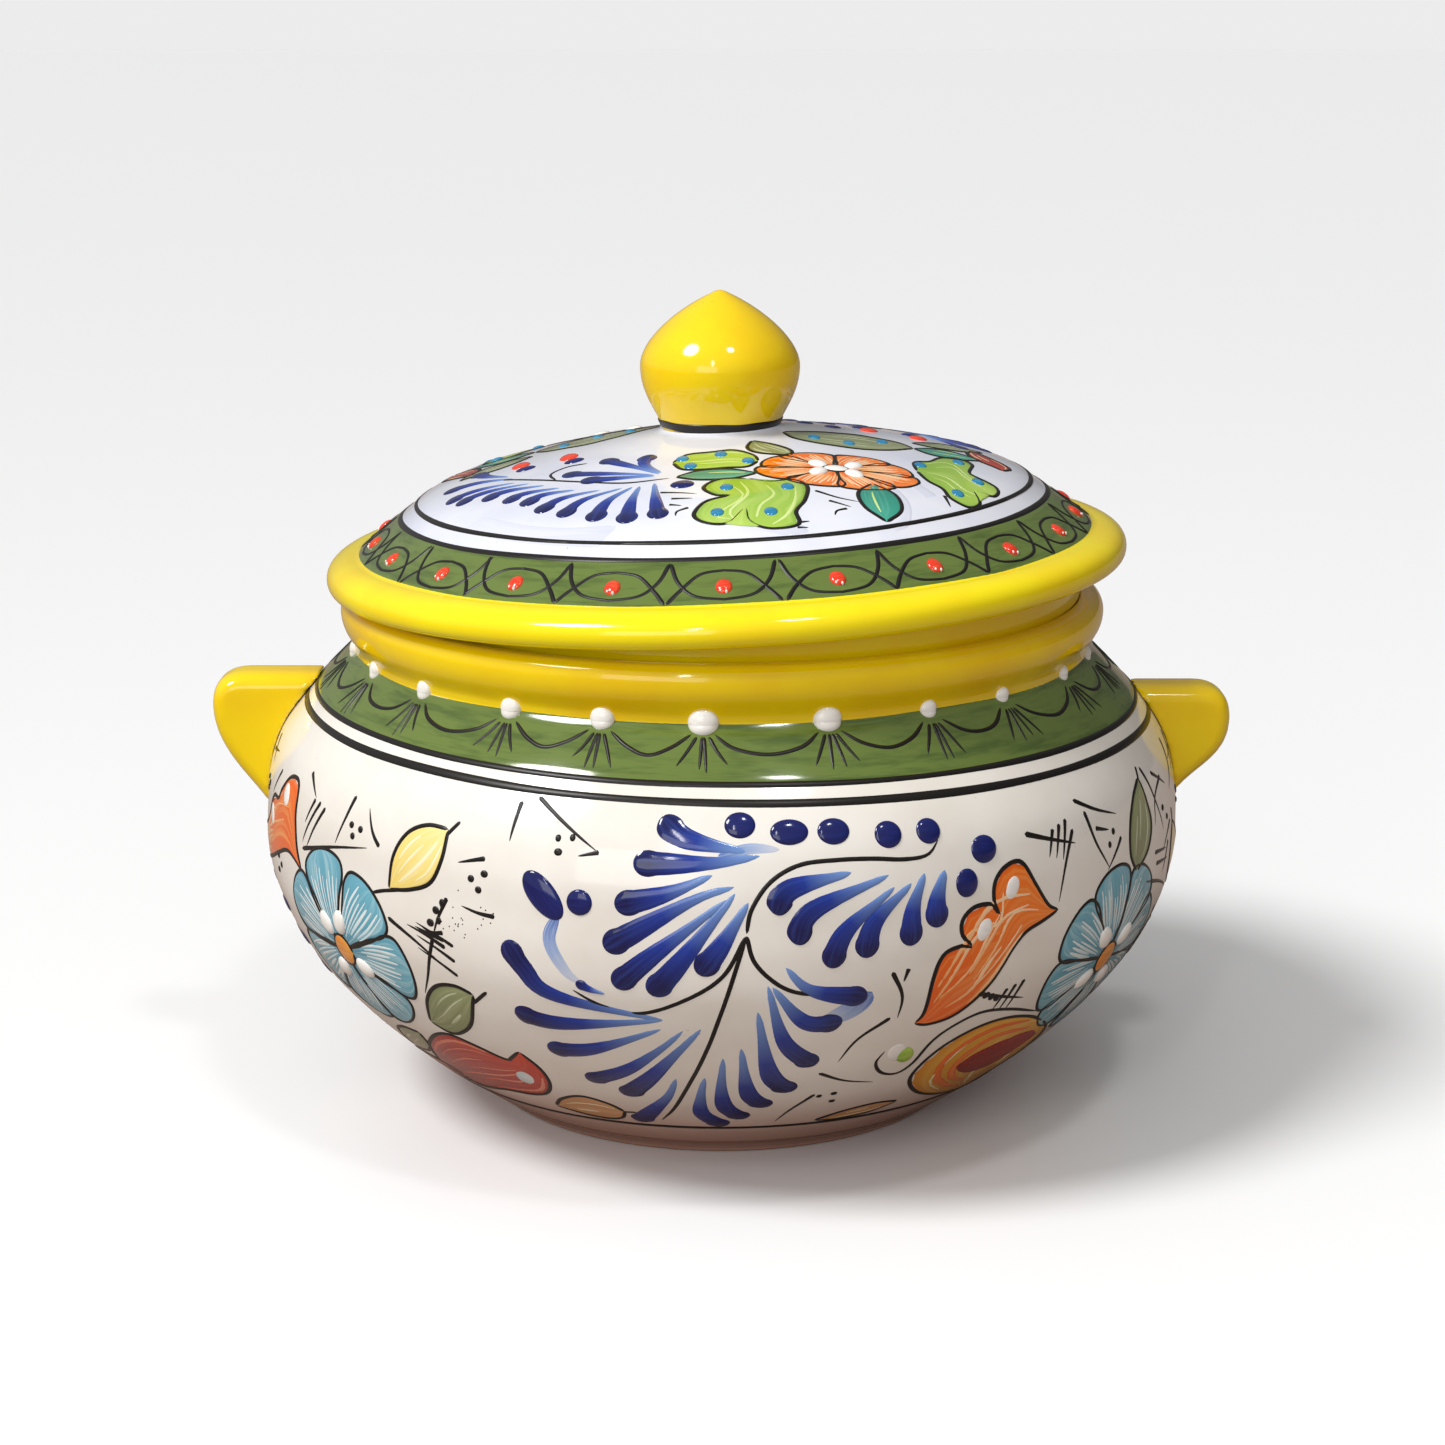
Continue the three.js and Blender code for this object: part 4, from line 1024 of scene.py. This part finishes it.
def lidSpray(skin, behind):
    for left, right in (([(-36, -96), (-52, -88), (-68, -76), (-82, -60)],
                         [(-30, -88), (-48, -82), (-62, -72), (-74, -58)]),
                        ([(54, -64), (57, -74), (56, -84), (51, -89)],
                         [(51, -63), (53.5, -72), (53, -82), (49.5, -87)]),
                        ([(58, -46), (61, -56), (66, -64)], [(55, -48), (58, -60), (62, -68)]),
                        ([(26, -96), (18, -98), (10, -96)], [(24, -93), (18, -95), (10, -93)])):
        fillBetween(skin, "lidWash", left, right, lift=0.05)
    for path in lidStrokes:
        comma(skin, "lidCobalt", path, handChance.uniform(3.4, 3.8), lift=0.6, neck=0.74)
    line(skin, "lidStems", [(-15, -57.5), (-30, -57), (-45, -48), (-58, -37), (-71, -25), (-84, -16)], 0.7,
         rows=44)
    line(skin, "lidStems", [(-52, -42), (-54, -34), (-49, -29), (-42, -30)], 0.6, rows=24)
    bead(skin, "lidCobaltDots", (-12, -64), 3.8, 3.2, 0.8)
    for place in ((-65, -11), (-49, -16)):
        bead(skin, "lidRedDots", place, 3.2, 4.2, 0.9)
        bead(skin, "lidCobaltDots", (place[0] + 2, place[1] - 7), 3.4, 2.8, 0.7)
    for x, y in ((-8, -26), (-18, -22), (-28, -18), (-37, -12)) if behind else ():
        bead(skin, "lidCobaltDots", (x, y), 3.0, 2.4, 0.6)
    lobedLeaf(skin, [(20, -12), (24, -20), (34, -24), (44, -25), (54, -22), (62, -14)],
              [(20, -12), (28, -8), (36, -4), (46, -2), (56, -6), (62, -14)],
              [(30, -16), (41, -19), (52, -10)], rays=4, names=mossNames)
    leaf(skin, tealNames, [(62, -14), (68, -20), (76, -19), (84, -13)],
         [(62, -14), (68, -9), (76, -8), (84, -13)], rays=2)
    leaf(skin, ("lidRed", "lidOrangeRays", "lidOutlines"), [(82, 4), (88, -4), (93, -12), (90, -20)],
         [(82, 4), (80, -5), (83, -14), (90, -20)], rays=3)
    leaf(skin, mossNames, [(62, -4), (70, -6), (79, -2), (86, 6)], [(62, -4), (68, 3), (77, 7), (86, 6)],
         rays=3)
    lobedLeaf(skin,
              [(8, -62), (-1, -62), (-5.5, -68), (-2, -74.5), (2, -75.5), (-5, -79), (-8.5, -87), (-5, -92),
               (2, -92.5), (7, -84)],
              [(8, -62), (15, -64.5), (22, -63), (26, -68), (25, -78), (22, -86), (22.5, -93), (14, -95.5),
               (8, -92), (7, -84)], [(1.5, -69), (20, -69), (-1.5, -86.5), (14.5, -86.5)], rays=4)
    lobedLeaf(skin, [(-15, -44), (-11, -37), (-3, -36), (4, -35), (10, -40), (11.5, -46)],
              [(-15, -44), (-12, -50.5), (-6, -52), (2, -51.5), (8, -51), (11.5, -46)],
              [(-12, -41), (0, -39), (8.5, -46), (-9.5, -48.5)])
    lobedLeaf(skin,
              [(61, -44), (61, -34), (66, -30), (70, -22), (76, -18), (80, -22), (78, -34), (80, -38),
               (86, -43), (84, -51), (78, -52)],
              [(61, -44), (64, -52), (68, -57), (70, -63), (75, -65), (79, -60), (78, -52)],
              [(62.5, -37), (80, -43), (72.5, -58), (75.5, -24)], rays=4)
    leaf(skin, mossNames, [(10, -25), (8.5, -33), (12, -38), (22, -40)],
         [(10, -25), (17, -29), (22, -34), (22, -40)])
    flower(skin, ("lidOrange", "lidOrangeRays", "lidOutlines"), (35.5, -51), 25.5, 8, 22, 9.4, "lidBeads",
           flat=0.66)
    leaf(skin, tealNames, [(46, -62), (41.5, -70), (43, -80), (49, -86)],
         [(46, -62), (52.5, -68), (54, -78), (49, -86)], rays=1)
    leaf(skin, tealNames, [(-14, -57), (-7, -53), (3, -53), (11, -57)],
         [(-14, -57), (-7, -61), (3, -61.5), (11, -57)], rays=1)
    for path in ([(28, -71), (35, -75), (42, -77)], [(32, -77.5), (39, -81)],
                 [(37.5, -82), (34.4, -84), (33.5, -87)], [(-15.5, -75), (-8.5, -76)],
                 [(-16, -79), (-12, -80.5)], [(-10, -82), (-13.5, -84), (-14, -87)],
                 [(-19, -69), (-12, -71), (-7, -73)], [(22.5, -92), (26, -91)], [(22, -94.5), (25.5, -94)],
                 [(68, -62), (69.5, -69)]):
        tick(skin, "lidTicks", path, 0.85)


for turn in (0, 180):
    lidSpray(turned(lidTop, turn), behind=turn > 0)


knobRise = knobRun[1:28]                           # from the waist to the belly of the knob


def knobWall(a, v):                                # v: mm above the waist of the knob
    angle, z = np.radians(a), knobShape["waistZ"] + v
    r = np.interp(z, knobRise[:, 1], knobRise[:, 0])
    return np.stack([r * np.sin(angle) + knobShape["shift"], -r * np.cos(angle), z], -1) * mm


knobWall.grain = 0.32
band(knobWall, "lidLines", lambda lean: 1.6 + 0.8 * np.cos(lean + 1.57),
     lambda lean: 5.2 + 0.3 * np.sin(lean), lift=0.4, around=160, across=6, wander=0.1, seed=0.9)
print("lid painted")


paintBook = {
    "Green": (greenPaint, "green_glaze"), "Lines": (blackPaint, "black_line"),
    "Festoons": (blackPaint, "black_line"), "Stems": (blackPaint, "black_line"),
    "Outlines": (blackPaint, "black_line"), "Ticks": (blackPaint, "black_line"),
    "TickDots": (blackPaint, "black_line"), "Scallops": (blackPaint, "black_line"),
    "Cobalt": (cobaltPaint, "cobalt_blue"), "Dots": (cobaltDot, "cobalt_blue"),
    "CobaltDots": (cobaltDot, "cobalt_blue"),
}
for name, glaze in (("Beads", whitePaint), ("Sky", skyPaint), ("Rays", rayPaint), ("Hearts", heartPaint),
                    ("Orange", orangePaint), ("OrangeRays", orangeRay), ("BlushRays", blushRay),
                    ("Smear", smearPaint), ("Yellow", yellowPaint), ("CreamRays", creamRay),
                    ("Olive", olivePaint), ("OliveRays", oliveRay), ("Red", redPaint), ("Wine", wineEnamel),
                    ("Ochre", ochrePaint), ("PodStripes", orangePaint), ("Peach", peachPaint),
                    ("Lime", limePaint), ("LimeRays", limeRay), ("RedDots", redDot), ("Aqua", aquaDot),
                    ("Teal", tealPaint), ("Wash", washPaint)):
    paintBook[name] = (glaze, "flower_enamels")
enamel = {"depth": 0.25, "weld": 0.01, "sliver": 0.005, "crease": 50}      # millimetres and degrees
for colour in sorted(paintPots):
    marks = paintPots[colour]
    bpy.ops.object.select_all(action="DESELECT")
    for mark in marks:
        mark.select_set(True)
    piece = marks[0]
    bpy.context.view_layer.objects.active = piece
    if len(marks) > 1:
        bpy.ops.object.join()
    piece.name = colour + "Enamel"
    bpy.ops.object.mode_set(mode="EDIT")
    bpy.ops.mesh.select_all(action="SELECT")
    bpy.ops.mesh.remove_doubles(threshold=enamel["weld"] * mm)
    bpy.ops.mesh.dissolve_degenerate(threshold=enamel["sliver"] * mm)
    bpy.ops.object.mode_set(mode="OBJECT")
    depth = piece.modifiers.new("depth", "SOLIDIFY")
    depth.thickness, depth.offset = enamel["depth"] * mm, -1
    bpy.ops.object.modifier_apply(modifier=depth.name)
    bpy.ops.object.shade_smooth_by_angle(angle=math.radians(enamel["crease"]))
    body, finishName = colour[:3], colour[3:]
    piece.data.materials.append(paintBook[finishName][0])
    finish(piece, body, None)
for blank, *_ in stripBlanks.values():
    bpy.data.objects.remove(blank)


stage = {
    "floorSize": 60, "floorSeen": (248, 248, 248), "floorCast": (158, 142, 132), "floorRough": 0.9,
    "window": (-0.70, -0.45, 0.55), "dimSide": 0.03, "windowSide": 0.56, "spread": 0.9, "backdrop": 0.84,
    "sun": 2.1, "sunAngle": math.radians(18), "sunAim": (0.7, 0.34, -1),
}
bpy.ops.object.select_all(action="DESELECT")
bpy.ops.mesh.primitive_plane_add(size=stage["floorSize"], location=(0, 0, 0))
floor = bpy.context.object
floor.name = "paleFloor"
floorPaint = bpy.data.materials.new("paleFloor")
floorPaint.use_nodes = True
tiles = floorPaint.node_tree
seenFloor = tiles.nodes["Principled BSDF"]
seenFloor.inputs["Base Color"].default_value = paint(*stage["floorSeen"])
seenFloor.inputs["Roughness"].default_value = stage["floorRough"]
# a duller, warmer bounce
castFloor = addNode(tiles, "ShaderNodeBsdfDiffuse", Color=paint(*stage["floorCast"]))
floorRay = addNode(tiles, "ShaderNodeLightPath")
floorMix = addNode(tiles, "ShaderNodeMixShader")
tiles.links.new(floorRay.outputs["Is Camera Ray"], floorMix.inputs[0])
tiles.links.new(castFloor.outputs[0], floorMix.inputs[1])
tiles.links.new(seenFloor.outputs[0], floorMix.inputs[2])
tiles.links.new(floorMix.outputs[0], tiles.nodes["Material Output"].inputs[0])
floor.data.materials.append(floorPaint)

world = bpy.data.worlds.new("studio")
bpy.context.scene.world = world
world.use_nodes = True
walls = world.node_tree
light = walls.nodes["Background"]
light.inputs["Color"].default_value = (1, 1, 1, 1)
ray = addNode(walls, "ShaderNodeTexCoord")
toWindow = addNode(walls, "ShaderNodeVectorMath", operation="DOT_PRODUCT")
toWindow.inputs[1].default_value = stage["window"]
walls.links.new(ray.outputs["Generated"], toWindow.inputs[0])
glow = mapped(walls, toWindow.outputs["Value"], (-stage["spread"], stage["spread"]),
              (stage["dimSide"], stage["windowSide"]))              # the room is brighter on the window side
walls.links.new(glow, light.inputs["Strength"])
seen = addNode(walls, "ShaderNodeBackground", Color=(1, 1, 1, 1), Strength=stage["backdrop"])
which = addNode(walls, "ShaderNodeLightPath")
mixed = addNode(walls, "ShaderNodeMixShader")
walls.links.new(which.outputs["Is Camera Ray"], mixed.inputs[0])
walls.links.new(light.outputs[0], mixed.inputs[1])
walls.links.new(seen.outputs[0], mixed.inputs[2])
walls.links.new(mixed.outputs[0], walls.nodes["World Output"].inputs[0])


def softBox(name, place, aim, size, power):
    bpy.ops.object.light_add(type="AREA", location=place)
    lamp = bpy.context.object
    lamp.name = name
    lamp.data.shape, lamp.data.size, lamp.data.size_y, lamp.data.energy = "RECTANGLE", size[0], size[1], power
    lamp.rotation_euler = (Vector(aim) - Vector(place)).to_track_quat("-Z", "Y").to_euler()


for lamp in (("frontBox", (0.31, -0.66, 1.52), (0, 0, 0.12), (0.16, 0.16), 2.8),
             ("stripBox", (-0.25, -1.25, 1.05), (0, 0, 0.12), (0.06, 0.4), 1.4),
             ("fillBox", (-0.55, -1.6, 0.6), (0, 0, 0.14), (0.9, 0.7), 4.2)):
    softBox(*lamp)
bpy.ops.object.light_add(type="SUN", location=(-1, -1, 2))
skylight = bpy.context.object
skylight.name = "skylight"
skylight.data.energy, skylight.data.angle = stage["sun"], stage["sunAngle"]
skylight.rotation_euler = Vector(stage["sunAim"]).to_track_quat("-Z", "Y").to_euler()

cameraSetup = {
    "target": Vector((0.0003, 0, 0.121)), "distance": 0.95, "elevation": math.radians(14),
    "lens": 70.6, "sensor": 36,
}
back = Vector((0, -math.cos(cameraSetup["elevation"]), math.sin(cameraSetup["elevation"])))
bpy.ops.object.camera_add(location=cameraSetup["target"] + back * cameraSetup["distance"])
camera = bpy.context.object
camera.rotation_euler = (-back).to_track_quat("-Z", "Y").to_euler()
camera.data.lens, camera.data.sensor_width = cameraSetup["lens"], cameraSetup["sensor"]
bpy.context.scene.camera = camera
bpy.context.scene.view_settings.view_transform = "Standard"
